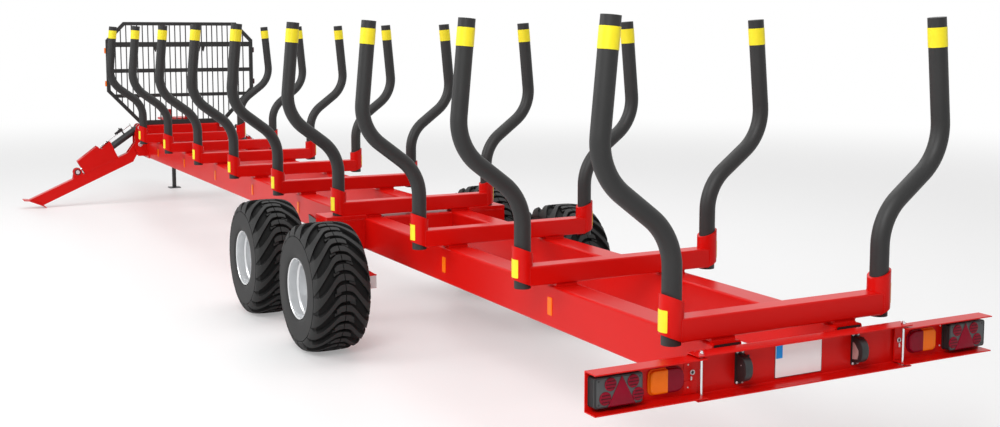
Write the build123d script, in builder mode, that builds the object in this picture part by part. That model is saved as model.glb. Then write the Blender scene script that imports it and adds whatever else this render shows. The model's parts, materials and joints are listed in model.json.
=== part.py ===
from build123d import *
from math import acos, atan2, cos, degrees, pi, radians, sin, sqrt, tan
import os

os.makedirs("parts", exist_ok=True)

# All lengths are millimetres. X runs forward, Y to the left, Z up from the ground.
# Lengths whose names end in _ahead are measured forward from the rear bunk's middle.
sides = ((1, "left"), (-1, "right"))
slip = 0.1
weld_lap = 1.0

# Bunks: nine cross bolsters on the two main beams
bunk_pitch = 1520.0
axle_bay_pitch = 1640.0
bay_pitches = [bunk_pitch] * 2 + [axle_bay_pitch] * 2 + [bunk_pitch] * 4
bunk_aheads = [sum(bay_pitches[:bay]) for bay in range(len(bay_pitches) + 1)]
bolster_size = 120.0
bolster_wall = 6.0
bolster_corner = 12.0
seat_thickness = 18.0
seat_length = 96.0

# Main beams: two closed box sections, open between
beam_inner_y = 310.0
beam_width = 180.0
beam_height = 260.0
beam_top = 900.0
beam_wall = 8.0
beam_corner = 16.0
beam_rear_overhang = 68.0
end_plate = 10.0

# Stakes: round tube, cranked outward and leaning back in towards the top
stake_radius = 50.8
stake_wall = 6.3
stake_y = 682.0
stake_low_z = 902.0
stake_crank_low_z = 1440.0
stake_crank_out = 435.0
stake_crank_high_z = 1769.0
stake_top_in = 70.0
stake_top_z = 2508.0
stake_bend_radius = 320.0
stake_cap = 5.0
band_from_top = 53.0
band_length = 108.0
band_thickness = 1.8

# Sleeves that hold the stakes, cut on a slant above and below
sleeve_wall = 12.5
sleeve_top_outer_z = 1162.0
sleeve_low_outer_z = 958.0
sleeve_slant = 22.0

# Bogie: a cross box over two rocking beams, each with two wheels
bogie_bunk = 3
bogie_past_bunk = 50.0
wheel_spacing = 1456.0
cross_box_length = 280.0
cross_box_wall = 10.0
bogie_pivot_z = 494.0
bogie_pin_radius = 45.0
bogie_beam_y = 731.0
bogie_beam_width = 112.0
bogie_beam_middle_height = 200.0
bogie_beam_end_height = 104.0
bogie_beam_end_lift = 22.0
bogie_beam_wall = 10.0
bogie_beam_overhang = 122.0
bogie_boss_radius = 68.0
bogie_boss_length = 12.0
hanger_thickness = 20.0
hanger_width = 240.0
hanger_gap = 8.0
hanger_foot_radius = 80.0

# Wheels: wide tyres on deep steel rims
tyre_radius = 494.0
tyre_width = 445.0
wheel_outer_y = 1282.0
rim_radius = 233.0
rim_inset = 10.0
rim_thickness = 9.0
rim_disc_inset = 230.0
rim_disc = 14.0
rim_step = 14.0
rim_step_inset = 70.0
hub_cap_radius = 62.0
hub_cap_length = 48.0
hub_radius = 140.0
spindle_radius = 40.0
drum_radius = 185.0
drum_gap = 6.0
drum_length = 76.0
drum_plate_radius = 192.0
drum_plate = 12.0
# Tread profile: share of the half width, depth below the tread's top
tread_profile = [(0.0, 33.0), (0.55, 37.0), (0.86, 58.0), (0.985, 84.0), (1.0, 96.0)]
lug_count = 20
lug_slope = 16.0
lug_depth = 60.0
# Lug outlines: share of the half width outward, share of a pitch round the tread
lug_flat = [(0.013, -0.158), (0.225, -0.084), (0.503, 0.367), (0.503, 0.715), (0.247, 0.277), (0.013, 0.158)]
lug_shoulder = [(0.467, 0.316), (0.921, 0.967), (0.921, 1.559), (0.467, 0.664)]

# Headboard: an eight-sided grille on the front cross box
headboard_in_box = 40.0
headboard_depth = 40.0
headboard_tube = 48.0
headboard_top_z = 2578.0
headboard_top_half = 800.0
headboard_side_half = 1045.0
headboard_side_top_z = 2325.0
headboard_side_low_z = 1605.0
headboard_foot_half = 590.0
headboard_foot_rail = 66.0
headboard_rails = [(2262.0, 70.0), (1893.0, 55.0), (1540.0, 48.0)]  # middle height, rail height
grille_bar = 13.0
grille_pitch = 76.0
grille_bar_count = 25

# Front cross box over the beams, between the two support legs
front_box_past_bunk = 560.0
front_box_length = 380.0
front_box_height = 220.0
front_box_wall = 10.0
nose_past_box = 100.0
box_tab_width = 62.0
box_tab_height = 210.0
box_tab_plate = 12.0
box_tab_y = 126.0

# Support legs: each swings about a pin in a column and rests on its foot
leg_in_box = 240.0
leg_slope = 24.0
leg_pin_y = 588.0
leg_pin_radius = 20.0
leg_ram_pin_above = 242.0
leg_width = 120.0
leg_depth = 146.0
leg_top_below_pin = 38.0
leg_wall = 8.0
leg_inner_top = 60.0
leg_inner_low = 190.0
leg_outer_top = 1680.0
leg_outer_low = 1546.0
leg_ear_radius = 62.0
foot_width = 200.0
foot_plate = 12.0
foot_toe = (1745.0, 0.0)  # out along the leg, square above its line
foot_heel = (1524.0, -228.0)
column_plate = 20.0
column_gap = 8.0
column_outer_y = 662.0
column_low_z = 668.0
column_top_radius = 52.0
doubler_half = 235.0
doubler_height = 126.0
doubler_plate = 10.0
rod_pin_out = 936.0
rod_pin_above = 22.0
rod_ear_plate = 16.0
rod_ear_radius = 58.0
rod_ear_gap = 62.0
cover_plate = 5.0
cover_width = 118.0
cover_slot = 44.0
cover_slot_out = 790.0
leg_swing = 95.0

# Hydraulic rams: barrel with an eye, rod with an eye
leg_ram = dict(
    barrel=48.0, rod=25.0, eye=45.0, eye_width=50.0, pin=20.0, barrel_start=37.0, barrel_end=620.0, rod_length=640.0
)
steer_ram = dict(
    barrel=38.0, rod=20.0, eye=36.0, eye_width=44.0, pin=15.0, barrel_start=54.0, barrel_end=480.0, rod_length=470.0
)
ram_wall = 9.0
gland_length = 30.0
piston_length = 45.0
rod_pin_head = 8.0

# Drawbar: hinged on a vertical pin ahead of the frame, steered by two rams
drawbar_pivot_past_nose = 410.0
drawbar_pin_radius = 30.0
knuckle_radius = 85.0
knuckle_height = 150.0
knuckle_z = 765.0
head_plate = 25.0
head_gap = 5.0
head_half_width = 240.0
bulkhead = 15.0
drawbar_eye_out = 1750.0
drawbar_flange_out = 1560.0
drawbar_root_width = 160.0
drawbar_tip_width = 130.0
drawbar_wall = 8.0
eye_z = 560.0
eye_bore_radius = 25.0
eye_ring_radius = 60.0
eye_thickness = 44.0
eye_flange_radius = 80.0
steer_base_past_nose = 100.0
steer_z = 745.0
steer_ear_gap = 50.0
steer_arm_out = 370.0
steer_arm_y = 150.0
steer_ear_plate = 15.0
steer_ear_radius = 42.0

# Crane seat: a bolted flange on a short box above the drawbar head
seat_past_nose = 180.0
crane_seat_size = 380.0
crane_seat_top_z = 1175.0
crane_seat_flange = 25.0
crane_post_size = 250.0
crane_bolt_circle = 300.0
crane_bolt_count = 8
crane_bolt_hole = 22.0

# Parking stand: a round leg sliding in a sleeve on the drawbar's right side
stand_out = 750.0
stand_y = -215.0
stand_radius = 31.0
stand_wall = 5.0
stand_top_z = 930.0
stand_foot_size = 175.0
stand_foot_plate = 12.0
stand_sleeve_wall = 7.0
stand_sleeve_low_z = 500.0
stand_sleeve_top_z = 820.0
stand_bracket_low_zs = (615.0, 710.0)
stand_bracket_plate = 16.0

# Light bar: a fixed centre channel and two wings that fold back about upright pins
bar_web_face = -149.0
bar_web = 6.0
bar_top_z = 900.0
bar_low_z = 676.0
bar_depth = 92.0
bar_half_width = 692.0
wing_gap = 8.0
wing_pin_ahead = -212.0
wing_pin_y = 655.0
wing_pin_radius = 7.0
wing_inner_lap = 12.0
wing_outer_y = 1275.0
wing_depth = 88.0
wing_pin_stub = 8.0
wing_nut_radius = 13.0
wing_nut = 10.0
loop_width = 160.0
loop_height = 38.0
loop_plate = 9.0
loop_length = 90.0
lamp_depth = 55.0
lamp_box_height = 148.0
lamp_box_width = 270.0
lamp_edge_gap = 14.0
round_lens_radius = 27.0
# Lens places: outward from the triangle's middle, above the lamp's middle
round_lens_places = [(62.0, 36.0), (90.0, -28.0), (-62.0, 36.0), (-90.0, -28.0)]
triangle_inward = 16.0
triangle_half = 76.0
triangle_height = 140.0
lens_thickness = 7.0
strip_lens_height = 125.0
strip_lens_depth = 24.0
strip_lens_corner = 46.0
strip_red_width = 91.0
strip_amber_width = 111.0
strip_from_lamp = 60.0
plate_width = 300.0
plate_height = 175.0
plate_thickness = 3.0
plate_lamp_y = 378.0
plate_lamp_height = 164.0
plate_lamp_shoulder = 28.0
plate_lamp_depth = 84.0
plate_lamp_width = 56.0


# Values worked out from the sizes above
front_box_rear_ahead = bunk_aheads[-1] + front_box_past_bunk
headboard_ahead = front_box_rear_ahead + headboard_in_box
leg_ahead = front_box_rear_ahead + leg_in_box
beam_nose_ahead = front_box_rear_ahead + front_box_length + nose_past_box
drawbar_pivot_ahead = beam_nose_ahead + drawbar_pivot_past_nose
steer_base_ahead = beam_nose_ahead + steer_base_past_nose
seat_ahead = beam_nose_ahead + seat_past_nose
bogie_ahead = bunk_aheads[bogie_bunk] + bogie_past_bunk
wing_web_face = bar_web_face - wing_gap - bar_web
rear_reach = -(wing_web_face - wing_depth)
nose_reach = drawbar_pivot_ahead + drawbar_eye_out + eye_ring_radius
middle_ahead = (nose_reach - rear_reach) / 2
beam_outer_y = beam_inner_y + beam_width
beam_y = beam_inner_y + beam_width / 2
steer_base_y = beam_y
beam_low = beam_top - beam_height
beam_middle_z = (beam_top + beam_low) / 2
bolster_z = beam_top + seat_thickness + bolster_size / 2
sleeve_radius = stake_radius + slip + sleeve_wall
wheel_inner_y = wheel_outer_y - tyre_width
hanger_inner = bogie_beam_y - bogie_beam_width / 2 - hanger_gap
hanger_outer = bogie_beam_y + bogie_beam_width / 2 + hanger_gap
cross_box_half_width = hanger_outer + hanger_thickness
drum_plate_y = bogie_beam_y + bogie_beam_width / 2 + bogie_boss_length
drum_inner_y = drum_plate_y + drum_plate + drum_gap
drum_outer_y = drum_inner_y + drum_length
front_box_top = beam_top + front_box_height


def along(ahead):
    """The model's x of a point so far ahead of the rear bunk."""
    return ahead - middle_ahead


def save(piece, name):
    """Label a finished piece and write it as its own file."""
    piece.part.label = name
    export_step(piece.part, f"parts/{name}.step")


# Main beams with their end plates
for side, word in sides:
    with BuildPart() as beam:
        with BuildSketch(Plane.YZ.offset(along(-beam_rear_overhang))):
            with Locations((side * beam_y, beam_middle_z)):
                RectangleRounded(beam_width, beam_height, beam_corner)
                RectangleRounded(
                    beam_width - 2 * beam_wall, beam_height - 2 * beam_wall, beam_corner - beam_wall,
                    mode=Mode.SUBTRACT,
                )
        extrude(amount=beam_nose_ahead + beam_rear_overhang)
    save(beam, f"beam_{word}")

with BuildPart() as end_plates:
    with BuildSketch(Plane.YZ.offset(along(-beam_rear_overhang))):
        with Locations((beam_y, beam_middle_z), (-beam_y, beam_middle_z)):
            RectangleRounded(beam_width, beam_height, beam_corner)
    extrude(amount=-end_plate)
    with BuildSketch(Plane.XZ.offset(-beam_outer_y)):
        with Locations((along(front_box_rear_ahead + front_box_length / 2), beam_top + front_box_height / 2)):
            RectangleRounded(front_box_length, front_box_height, beam_corner)
    extrude(amount=end_plate)
    with BuildSketch(Plane.XZ.offset(beam_outer_y)):
        with Locations((along(front_box_rear_ahead + front_box_length / 2), beam_top + front_box_height / 2)):
            RectangleRounded(front_box_length, front_box_height, beam_corner)
    extrude(amount=-end_plate)
save(end_plates, "end_plates")


# Cross box at the bogie: a middle between the beams and a closed stub outside each
def cross_box_section(plane, wall):
    """Draw the cross box's outer section, or its hollow when a wall is given."""
    with BuildSketch(plane) as section:
        with Locations((along(bogie_ahead), beam_middle_z)):
            RectangleRounded(
                cross_box_length - 2 * wall, beam_height - 2 * wall, beam_corner - 0.5 * wall
            )
    return section.sketch


with BuildPart() as cross_box:
    extrude(cross_box_section(Plane.XZ.offset(beam_inner_y), 0), amount=-2 * beam_inner_y)
    extrude(
        cross_box_section(Plane.XZ.offset(beam_inner_y), cross_box_wall),
        amount=-2 * beam_inner_y, mode=Mode.SUBTRACT,
    )
    stub = cross_box_half_width - beam_outer_y
    for side in (1, -1):
        extrude(cross_box_section(Plane.XZ.offset(-side * beam_outer_y), 0), amount=-side * stub)
        extrude(
            cross_box_section(Plane.XZ.offset(-side * beam_outer_y), cross_box_wall),
            amount=-side * (stub - cross_box_wall), mode=Mode.SUBTRACT,
        )
save(cross_box, "cross_box")

# Front cross box on top of the beams
with BuildPart() as front_box:
    with BuildSketch(Plane.XZ.offset(beam_outer_y - end_plate)):
        with Locations((along(front_box_rear_ahead + front_box_length / 2), beam_top + front_box_height / 2)):
            RectangleRounded(front_box_length, front_box_height, beam_corner)
            RectangleRounded(
                front_box_length - 2 * front_box_wall, front_box_height - 2 * front_box_wall,
                beam_corner - front_box_wall, mode=Mode.SUBTRACT,
            )
    extrude(amount=-2 * (beam_outer_y - end_plate))
    with BuildSketch(Plane.YZ.offset(along(front_box_rear_ahead + 0.8 * front_box_length))):
        tab_z = front_box_top + box_tab_height / 2 - front_box_wall
        with Locations((box_tab_y, tab_z), (-box_tab_y, tab_z)):
            RectangleRounded(box_tab_width, box_tab_height, front_box_wall)
    extrude(amount=box_tab_plate)
save(front_box, "front_box")

# Bolsters: square tubes on seats, coped to the sleeves at both ends
with BuildPart() as bolster:
    with BuildSketch(Plane.XZ.offset(stake_y)):
        with Locations((0, bolster_z)):
            RectangleRounded(bolster_size, bolster_size, bolster_corner)
            RectangleRounded(
                bolster_size - 2 * bolster_wall, bolster_size - 2 * bolster_wall,
                bolster_corner - bolster_wall, mode=Mode.SUBTRACT,
            )
    extrude(amount=-2 * stake_y)
    with Locations((0, stake_y, bolster_z), (0, -stake_y, bolster_z)):
        Cylinder(sleeve_radius, 2 * bolster_size, mode=Mode.SUBTRACT)
    with BuildSketch(Plane.XY.offset(beam_top)):
        with Locations((0, beam_y), (0, -beam_y)):
            Rectangle(seat_length, beam_width - 2 * beam_corner)
    extrude(amount=seat_thickness)

with BuildPart() as bolsters:
    with Locations(*[(along(ahead), 0, 0) for ahead in bunk_aheads]):
        add(bolster.part)
save(bolsters, "bolsters")

# Sleeves around the stakes' feet
with BuildPart() as sleeve:
    with BuildSketch(Plane.XY.offset(stake_low_z)):
        with Locations((0, stake_y)):
            Circle(sleeve_radius)
            Circle(stake_radius + slip, mode=Mode.SUBTRACT)
    extrude(amount=sleeve_top_outer_z - stake_low_z + sleeve_radius)
    for outer_z, kept in ((sleeve_top_outer_z, Keep.BOTTOM), (sleeve_low_outer_z, Keep.TOP)):
        slant = Plane(
            origin=(0, stake_y + sleeve_radius, outer_z),
            x_dir=(1, 0, 0),
            z_dir=(0, -sin(radians(sleeve_slant)), cos(radians(sleeve_slant))),
        )
        split(bisect_by=slant, keep=kept)

with BuildPart() as sleeves:
    with Locations(*[(along(ahead), 0, 0) for ahead in bunk_aheads]):
        add(sleeve.part)
    mirror(about=Plane.XZ)
save(sleeves, "stake_sleeves")

# Stakes: one tube swept along its cranked line, capped at the top
stake_top_y = stake_y + stake_crank_out - stake_top_in
with BuildPart() as stake:
    with BuildLine(Plane.YZ) as stake_line:
        FilletPolyline(
            (stake_y, stake_low_z),
            (stake_y, stake_crank_low_z),
            (stake_y + stake_crank_out, stake_crank_high_z),
            (stake_top_y, stake_top_z),
            radius=stake_bend_radius,
        )
    with BuildSketch(Plane.XY.offset(stake_low_z)):
        with Locations((0, stake_y)):
            Circle(stake_radius)
            Circle(stake_radius - stake_wall, mode=Mode.SUBTRACT)
    sweep(path=stake_line.wires()[0])
    lean = Plane(origin=stake_line.line @ 1, z_dir=stake_line.line % 1)
    with BuildSketch(lean):
        Circle(stake_radius)
    extrude(amount=-stake_cap)

with BuildPart() as stakes_left:
    with Locations(*[(along(ahead), 0, 0) for ahead in bunk_aheads]):
        add(stake.part)
save(stakes_left, "stakes_left")

with BuildPart() as stakes_right:
    add(stakes_left.part)
    mirror(about=Plane.XZ, mode=Mode.REPLACE)
save(stakes_right, "stakes_right")

# Yellow bands near the stakes' tops
with BuildPart() as band:
    with BuildSketch(lean.offset(-band_from_top)):
        Circle(stake_radius + slip + band_thickness)
        Circle(stake_radius + slip, mode=Mode.SUBTRACT)
    extrude(amount=-band_length)

with BuildPart() as bands:
    with Locations(*[(along(ahead), 0, 0) for ahead in bunk_aheads]):
        add(band.part)
    mirror(about=Plane.XZ)
save(bands, "stake_bands")

# Headboard frame with its rails, and the upright bars on its front
headboard_corners = [
    (headboard_foot_half, front_box_top),
    (headboard_side_half, headboard_side_low_z),
    (headboard_side_half, headboard_side_top_z),
    (headboard_top_half, headboard_top_z),
]
headboard_outline = headboard_corners + [(-y, z) for y, z in reversed(headboard_corners)]
headboard_plane = Plane.YZ.offset(along(headboard_ahead) - headboard_depth / 2)

with BuildPart() as headboard:
    with BuildSketch(headboard_plane):
        with BuildLine():
            Polyline(*headboard_outline, close=True)
        make_face()
        offset(amount=-headboard_tube, kind=Kind.INTERSECTION, mode=Mode.SUBTRACT)
        for rail_z, rail_height in headboard_rails:
            with Locations((0, rail_z)):
                Rectangle(2 * (headboard_side_half - weld_lap), rail_height)
        with Locations((0, front_box_top + headboard_foot_rail / 2)):
            Rectangle(2 * headboard_foot_half, headboard_foot_rail)
        with BuildLine(mode=Mode.PRIVATE) as border:
            Polyline(*headboard_outline, close=True)
        make_face(border.edges(), mode=Mode.INTERSECT)
    extrude(amount=headboard_depth)
save(headboard, "headboard_frame")


def outline_height(y, low, high):
    """The height at y of the straight outline between two corners, low and high."""
    share = (y - low[0]) / (high[0] - low[0])
    return low[1] + share * (high[1] - low[1])


with BuildPart() as grille:
    for number in range(grille_bar_count):
        bar_y = (number - (grille_bar_count - 1) / 2) * grille_pitch
        reach = abs(bar_y) + grille_bar / 2
        bar_low = front_box_top
        bar_high = headboard_top_z
        if reach > headboard_foot_half:
            bar_low = outline_height(reach, headboard_corners[0], headboard_corners[1])
        if reach > headboard_top_half:
            bar_high = outline_height(reach, headboard_corners[3], headboard_corners[2])
        with BuildSketch(headboard_plane.offset(headboard_depth)):
            with Locations((bar_y, (bar_low + bar_high) / 2)):
                Rectangle(grille_bar, bar_high - bar_low)
        extrude(amount=grille_bar)
save(grille, "headboard_bars")

# Support legs. Each leg's own line runs from its pin, down the slope to its foot.
slope_sin = sin(radians(leg_slope))
slope_cos = cos(radians(leg_slope))
leg_low_n = -(leg_top_below_pin + leg_depth)
foot_turn = atan2(leg_outer_top - leg_outer_low, leg_depth)
foot_out_step = foot_plate * cos(foot_turn)
foot_down_step = foot_plate * sin(foot_turn)
foot_outline = [
    foot_toe,
    (leg_outer_top, -leg_top_below_pin),
    (leg_outer_low, leg_low_n),
    foot_heel,
    (foot_heel[0] + foot_plate, foot_heel[1] - 3),
    (leg_outer_low + foot_out_step, leg_low_n - foot_down_step),
    (leg_outer_top + foot_out_step, -leg_top_below_pin - foot_down_step),
    (foot_toe[0] + 3, foot_toe[1] - foot_plate),
]
leg_pin_z = max(out * slope_sin - above * slope_cos for out, above in foot_outline)
ram_pin_z = leg_pin_z + leg_ram_pin_above
rod_pin_y = leg_pin_y + rod_pin_out * slope_cos + rod_pin_above * slope_sin
rod_pin_z = leg_pin_z - rod_pin_out * slope_sin + rod_pin_above * slope_cos
column_inner_x = leg_width / 2 + column_gap
column_span = 2 * (column_inner_x + column_plate)


def leg_plane(side, x_offset):
    """A plane whose x runs out along the leg and whose y rises square to it."""
    return Plane(
        origin=(along(leg_ahead) + x_offset, side * leg_pin_y, leg_pin_z),
        x_dir=(0, side * slope_cos, -slope_sin),
        z_dir=(side, 0, 0),
    )


for side, word in sides:
    with BuildPart() as column:
        with BuildSketch(Plane.YZ.offset(along(leg_ahead) - column_span / 2)) as column_face:
            with BuildLine():
                Polyline(
                    (side * beam_outer_y, column_low_z),
                    (side * beam_outer_y, ram_pin_z + column_top_radius * 0.7),
                    (side * leg_pin_y, ram_pin_z + column_top_radius * 0.7),
                    (side * (leg_pin_y + column_top_radius), ram_pin_z),
                    (side * column_outer_y, ram_pin_z - 80),
                    (side * column_outer_y, leg_pin_z - 40),
                    (side * (leg_pin_y + 30), column_low_z),
                    close=True,
                )
            make_face()
            with Locations((side * leg_pin_y, ram_pin_z)):
                Circle(column_top_radius)
        extrude(amount=column_span)
        with BuildSketch(Plane.YZ.offset(along(leg_ahead) - column_inner_x)):
            with Locations((side * (beam_outer_y + 130), (ram_pin_z + leg_pin_z) / 2)):
                Rectangle(220, 800)
        extrude(amount=2 * column_inner_x, mode=Mode.SUBTRACT)
        for pin_z in (leg_pin_z, ram_pin_z):
            with BuildSketch(Plane.YZ.offset(along(leg_ahead) - column_span / 2 - 6)):
                with Locations((side * leg_pin_y, pin_z)):
                    Circle(leg_pin_radius)
            extrude(amount=column_span + 12)
        with BuildSketch(Plane.XZ.offset(-side * beam_outer_y)):
            with BuildLine():
                doubler_foot = Line(
                    (along(leg_ahead) - doubler_half, beam_low + weld_lap),
                    (along(leg_ahead) + doubler_half, beam_low + weld_lap),
                )
                ThreePointArc(
                    doubler_foot @ 0, (along(leg_ahead), beam_low + doubler_height), doubler_foot @ 1
                )
            make_face()
        extrude(amount=-side * doubler_plate)
    save(column, f"leg_column_{word}")

    with BuildPart() as leg:
        with BuildSketch(leg_plane(side, -side * leg_width / 2)):
            with BuildLine():
                Polyline(
                    (leg_inner_top, -leg_top_below_pin),
                    (leg_outer_top, -leg_top_below_pin),
                    (leg_outer_low, leg_low_n),
                    (leg_inner_low, leg_low_n),
                    close=True,
                )
            make_face()
        extrude(amount=leg_width)
        with BuildSketch(leg_plane(side, -side * (leg_width / 2 - leg_wall))):
            with BuildLine():
                Polyline(
                    (leg_inner_top, -leg_top_below_pin - leg_wall),
                    (leg_outer_top, -leg_top_below_pin - leg_wall),
                    (leg_outer_low, leg_low_n + leg_wall),
                    (leg_inner_low - 120, leg_low_n + leg_wall),
                    close=True,
                )
            make_face()
        extrude(amount=leg_width - 2 * leg_wall, mode=Mode.SUBTRACT)
        for wall_x in (-leg_width / 2, leg_width / 2 - rod_ear_plate):
            with BuildSketch(leg_plane(side, side * wall_x)):
                with BuildLine():
                    Polyline(
                        (-10, leg_ear_radius - 6),
                        (70, 45),
                        (230, -leg_top_below_pin - 10),
                        (leg_inner_low, leg_low_n),
                        (leg_inner_top - 30, -leg_top_below_pin - 20),
                        close=True,
                    )
                make_face()
                Circle(leg_ear_radius)
                Circle(leg_pin_radius + slip, mode=Mode.SUBTRACT)
            extrude(amount=rod_ear_plate)
        for ear_x in (-rod_ear_gap / 2 - rod_ear_plate, rod_ear_gap / 2):
            with BuildSketch(leg_plane(side, side * ear_x)):
                with BuildLine():
                    Polyline(
                        (rod_pin_out - rod_ear_radius, -leg_top_below_pin - weld_lap),
                        (rod_pin_out - rod_ear_radius, rod_pin_above),
                        (rod_pin_out + rod_ear_radius, rod_pin_above),
                        (rod_pin_out + 1.7 * rod_ear_radius, -leg_top_below_pin - weld_lap),
                        close=True,
                    )
                make_face()
                with Locations((rod_pin_out, rod_pin_above)):
                    Circle(rod_ear_radius)
            extrude(amount=rod_ear_plate)
        with BuildSketch(leg_plane(side, -side * foot_width / 2)):
            with BuildLine():
                Polyline(*foot_outline, close=True)
            make_face()
        extrude(amount=foot_width)
        for head_x in (-rod_ear_gap / 2 - rod_ear_plate - rod_pin_head, rod_ear_gap / 2 + rod_ear_plate):
            with BuildSketch(leg_plane(side, side * head_x)):
                with Locations((rod_pin_out, rod_pin_above)):
                    Circle(leg_ram["pin"] + 9)
            extrude(amount=rod_pin_head)
    save(leg, f"support_leg_{word}")

    with BuildPart() as cover:
        with BuildSketch(leg_plane(side, -side * cover_width / 2)):
            with BuildLine():
                Polyline(
                    (353, -leg_top_below_pin), (354, 225), (515, 173), (545, 239), (876, 160),
                    (857, -leg_top_below_pin), close=True,
                )
            make_face()
        extrude(amount=cover_width)
        with BuildSketch(leg_plane(side, -side * (cover_width / 2 - cover_plate))):
            with BuildLine():
                Polyline(
                    (345, -70), (345, 300), (560, 300), (560, 229), (869, 155), (851, -70), close=True,
                )
            make_face()
        extrude(amount=cover_width - 2 * cover_plate, mode=Mode.SUBTRACT)
        with BuildSketch(leg_plane(side, -side * cover_slot / 2)):
            with BuildLine():
                Polyline((540, 120), (540, 300), (cover_slot_out, 300), (cover_slot_out, 120), close=True)
            make_face()
        extrude(amount=cover_slot, mode=Mode.SUBTRACT)
        with BuildSketch(leg_plane(side, -side * (rod_ear_gap / 2 + 8))):
            with Locations((865, 41)):
                Rectangle(40, 222)
        extrude(amount=rod_ear_gap + 16, mode=Mode.SUBTRACT)
    save(cover, f"ram_cover_{word}")


# Rams. A ram's plane has its x along the ram and its z along the pins.
def make_barrel(plane, ram):
    """A bored barrel with its base eye, from the base pin to the gland's face."""
    with BuildPart() as barrel:
        with BuildSketch(plane):
            with BuildLine():
                Polyline(
                    (ram["barrel_start"], 0), (ram["barrel_start"], ram["barrel"]),
                    (ram["barrel_end"], ram["barrel"]),
                    (ram["barrel_end"], ram["rod"] + slip),
                    (ram["barrel_end"] - gland_length, ram["rod"] + slip),
                    (ram["barrel_end"] - gland_length, ram["barrel"] - ram_wall),
                    (ram["barrel_start"] + 20, ram["barrel"] - ram_wall), (ram["barrel_start"] + 20, 0),
                    close=True,
                )
            make_face()
        revolve(axis=Axis(plane.origin, plane.x_dir))
        with BuildSketch(plane.offset(-ram["eye_width"] / 2)):
            Circle(ram["eye"])
            with Locations(((ram["barrel_start"] + 10) / 2, 0)):
                Rectangle(ram["barrel_start"] + 10, 1.5 * ram["eye"])
        extrude(amount=ram["eye_width"])
        with BuildSketch(plane.offset(-ram["barrel"])):
            Circle(ram["pin"] + slip)
        extrude(amount=2 * ram["barrel"], mode=Mode.SUBTRACT)
    return barrel


def make_rod(plane, length, ram):
    """A rod with its piston and its tip eye, the eye's middle at the given length."""
    start = length - ram["rod_length"]
    with BuildPart() as rod:
        with BuildSketch(plane):
            with BuildLine():
                Polyline(
                    (start, 0), (start, ram["barrel"] - ram_wall - slip),
                    (start + piston_length, ram["barrel"] - ram_wall - slip),
                    (start + piston_length, ram["rod"]), (length - ram["eye"] * 0.6, ram["rod"]),
                    (length - ram["eye"] * 0.6, 0), close=True,
                )
            make_face()
        revolve(axis=Axis(plane.origin, plane.x_dir))
        with BuildSketch(plane.offset(-ram["eye_width"] / 2)):
            with Locations((length, 0)):
                Circle(ram["eye"])
        extrude(amount=ram["eye_width"])
    return rod


def make_pair(piece, name):
    """Save a piece as the left one and its mirror image as the right one."""
    with BuildPart() as other:
        add(piece.part)
        mirror(about=Plane.XZ, mode=Mode.REPLACE)
    save(piece, f"{name}_left")
    save(other, f"{name}_right")


def ram_plane(base, tip, pin_axis):
    """The plane of a ram from its base pin to its tip pin, and the distance between them."""
    reach = Vector(*tip) - Vector(*base)
    return Plane(origin=base, x_dir=reach.normalized(), z_dir=pin_axis), reach.length


leg_ram_plane, leg_ram_length = ram_plane(
    (along(leg_ahead), leg_pin_y, ram_pin_z), (along(leg_ahead), rod_pin_y, rod_pin_z), (1, 0, 0)
)
make_pair(make_barrel(leg_ram_plane, leg_ram), "leg_ram_barrel")
make_pair(make_rod(leg_ram_plane, leg_ram_length, leg_ram), "leg_ram_rod")
steer_ram_plane, steer_ram_length = ram_plane(
    (along(steer_base_ahead), steer_base_y, steer_z),
    (along(drawbar_pivot_ahead + steer_arm_out), steer_arm_y, steer_z), (0, 0, 1),
)
make_pair(make_barrel(steer_ram_plane, steer_ram), "steering_ram_barrel")
make_pair(make_rod(steer_ram_plane, steer_ram_length, steer_ram), "steering_ram_rod")

# Drawbar head: bulkhead, two plates round the pin, ears for the steering rams and the crane seat
pivot_x = along(drawbar_pivot_ahead)
head_low = knuckle_z - knuckle_height / 2 - head_gap - head_plate
head_high = knuckle_z + knuckle_height / 2 + head_gap
bulkhead_x = along(beam_nose_ahead)
ear_reach = along(steer_base_ahead) - bulkhead_x - bulkhead
with BuildPart() as head:
    with BuildSketch(Plane.YZ.offset(bulkhead_x)):
        with Locations((0, beam_middle_z)):
            Rectangle(2 * beam_outer_y, beam_height)
    extrude(amount=bulkhead)
    for plate_z in (head_low, head_high):
        with BuildSketch(Plane.XY.offset(plate_z)):
            with BuildLine():
                Polyline(
                    (bulkhead_x, head_half_width), (pivot_x, knuckle_radius),
                    (pivot_x, -knuckle_radius), (bulkhead_x, -head_half_width), close=True,
                )
            make_face()
            with Locations((pivot_x, 0)):
                Circle(knuckle_radius)
        extrude(amount=head_plate)
    with BuildSketch(Plane.XY.offset(head_low)):
        with Locations((bulkhead_x + 110, 0)):
            Rectangle(190, 300)
    extrude(amount=head_high - head_low + head_plate)
    with BuildSketch(Plane.XY.offset(head_low - 12)):
        with Locations((pivot_x, 0)):
            Circle(drawbar_pin_radius)
    extrude(amount=head_high - head_low + head_plate + 24)
    for side in (1, -1):
        for ear_z in (-steer_ear_gap / 2 - steer_ear_plate, steer_ear_gap / 2):
            with BuildSketch(Plane.XY.offset(steer_z + ear_z)):
                with Locations((along(steer_base_ahead), side * steer_base_y)):
                    Circle(steer_ear_radius)
                with Locations((along(steer_base_ahead) - ear_reach / 2, side * steer_base_y)):
                    Rectangle(ear_reach, 2 * steer_ear_radius)
            extrude(amount=steer_ear_plate)
        with BuildSketch(Plane.XY.offset(steer_z - steer_ear_gap / 2 - steer_ear_plate - 6)):
            with Locations((along(steer_base_ahead), side * steer_base_y)):
                Circle(steer_ram["pin"])
        extrude(amount=steer_ear_gap + 2 * steer_ear_plate + 12)
save(head, "drawbar_head")

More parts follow.
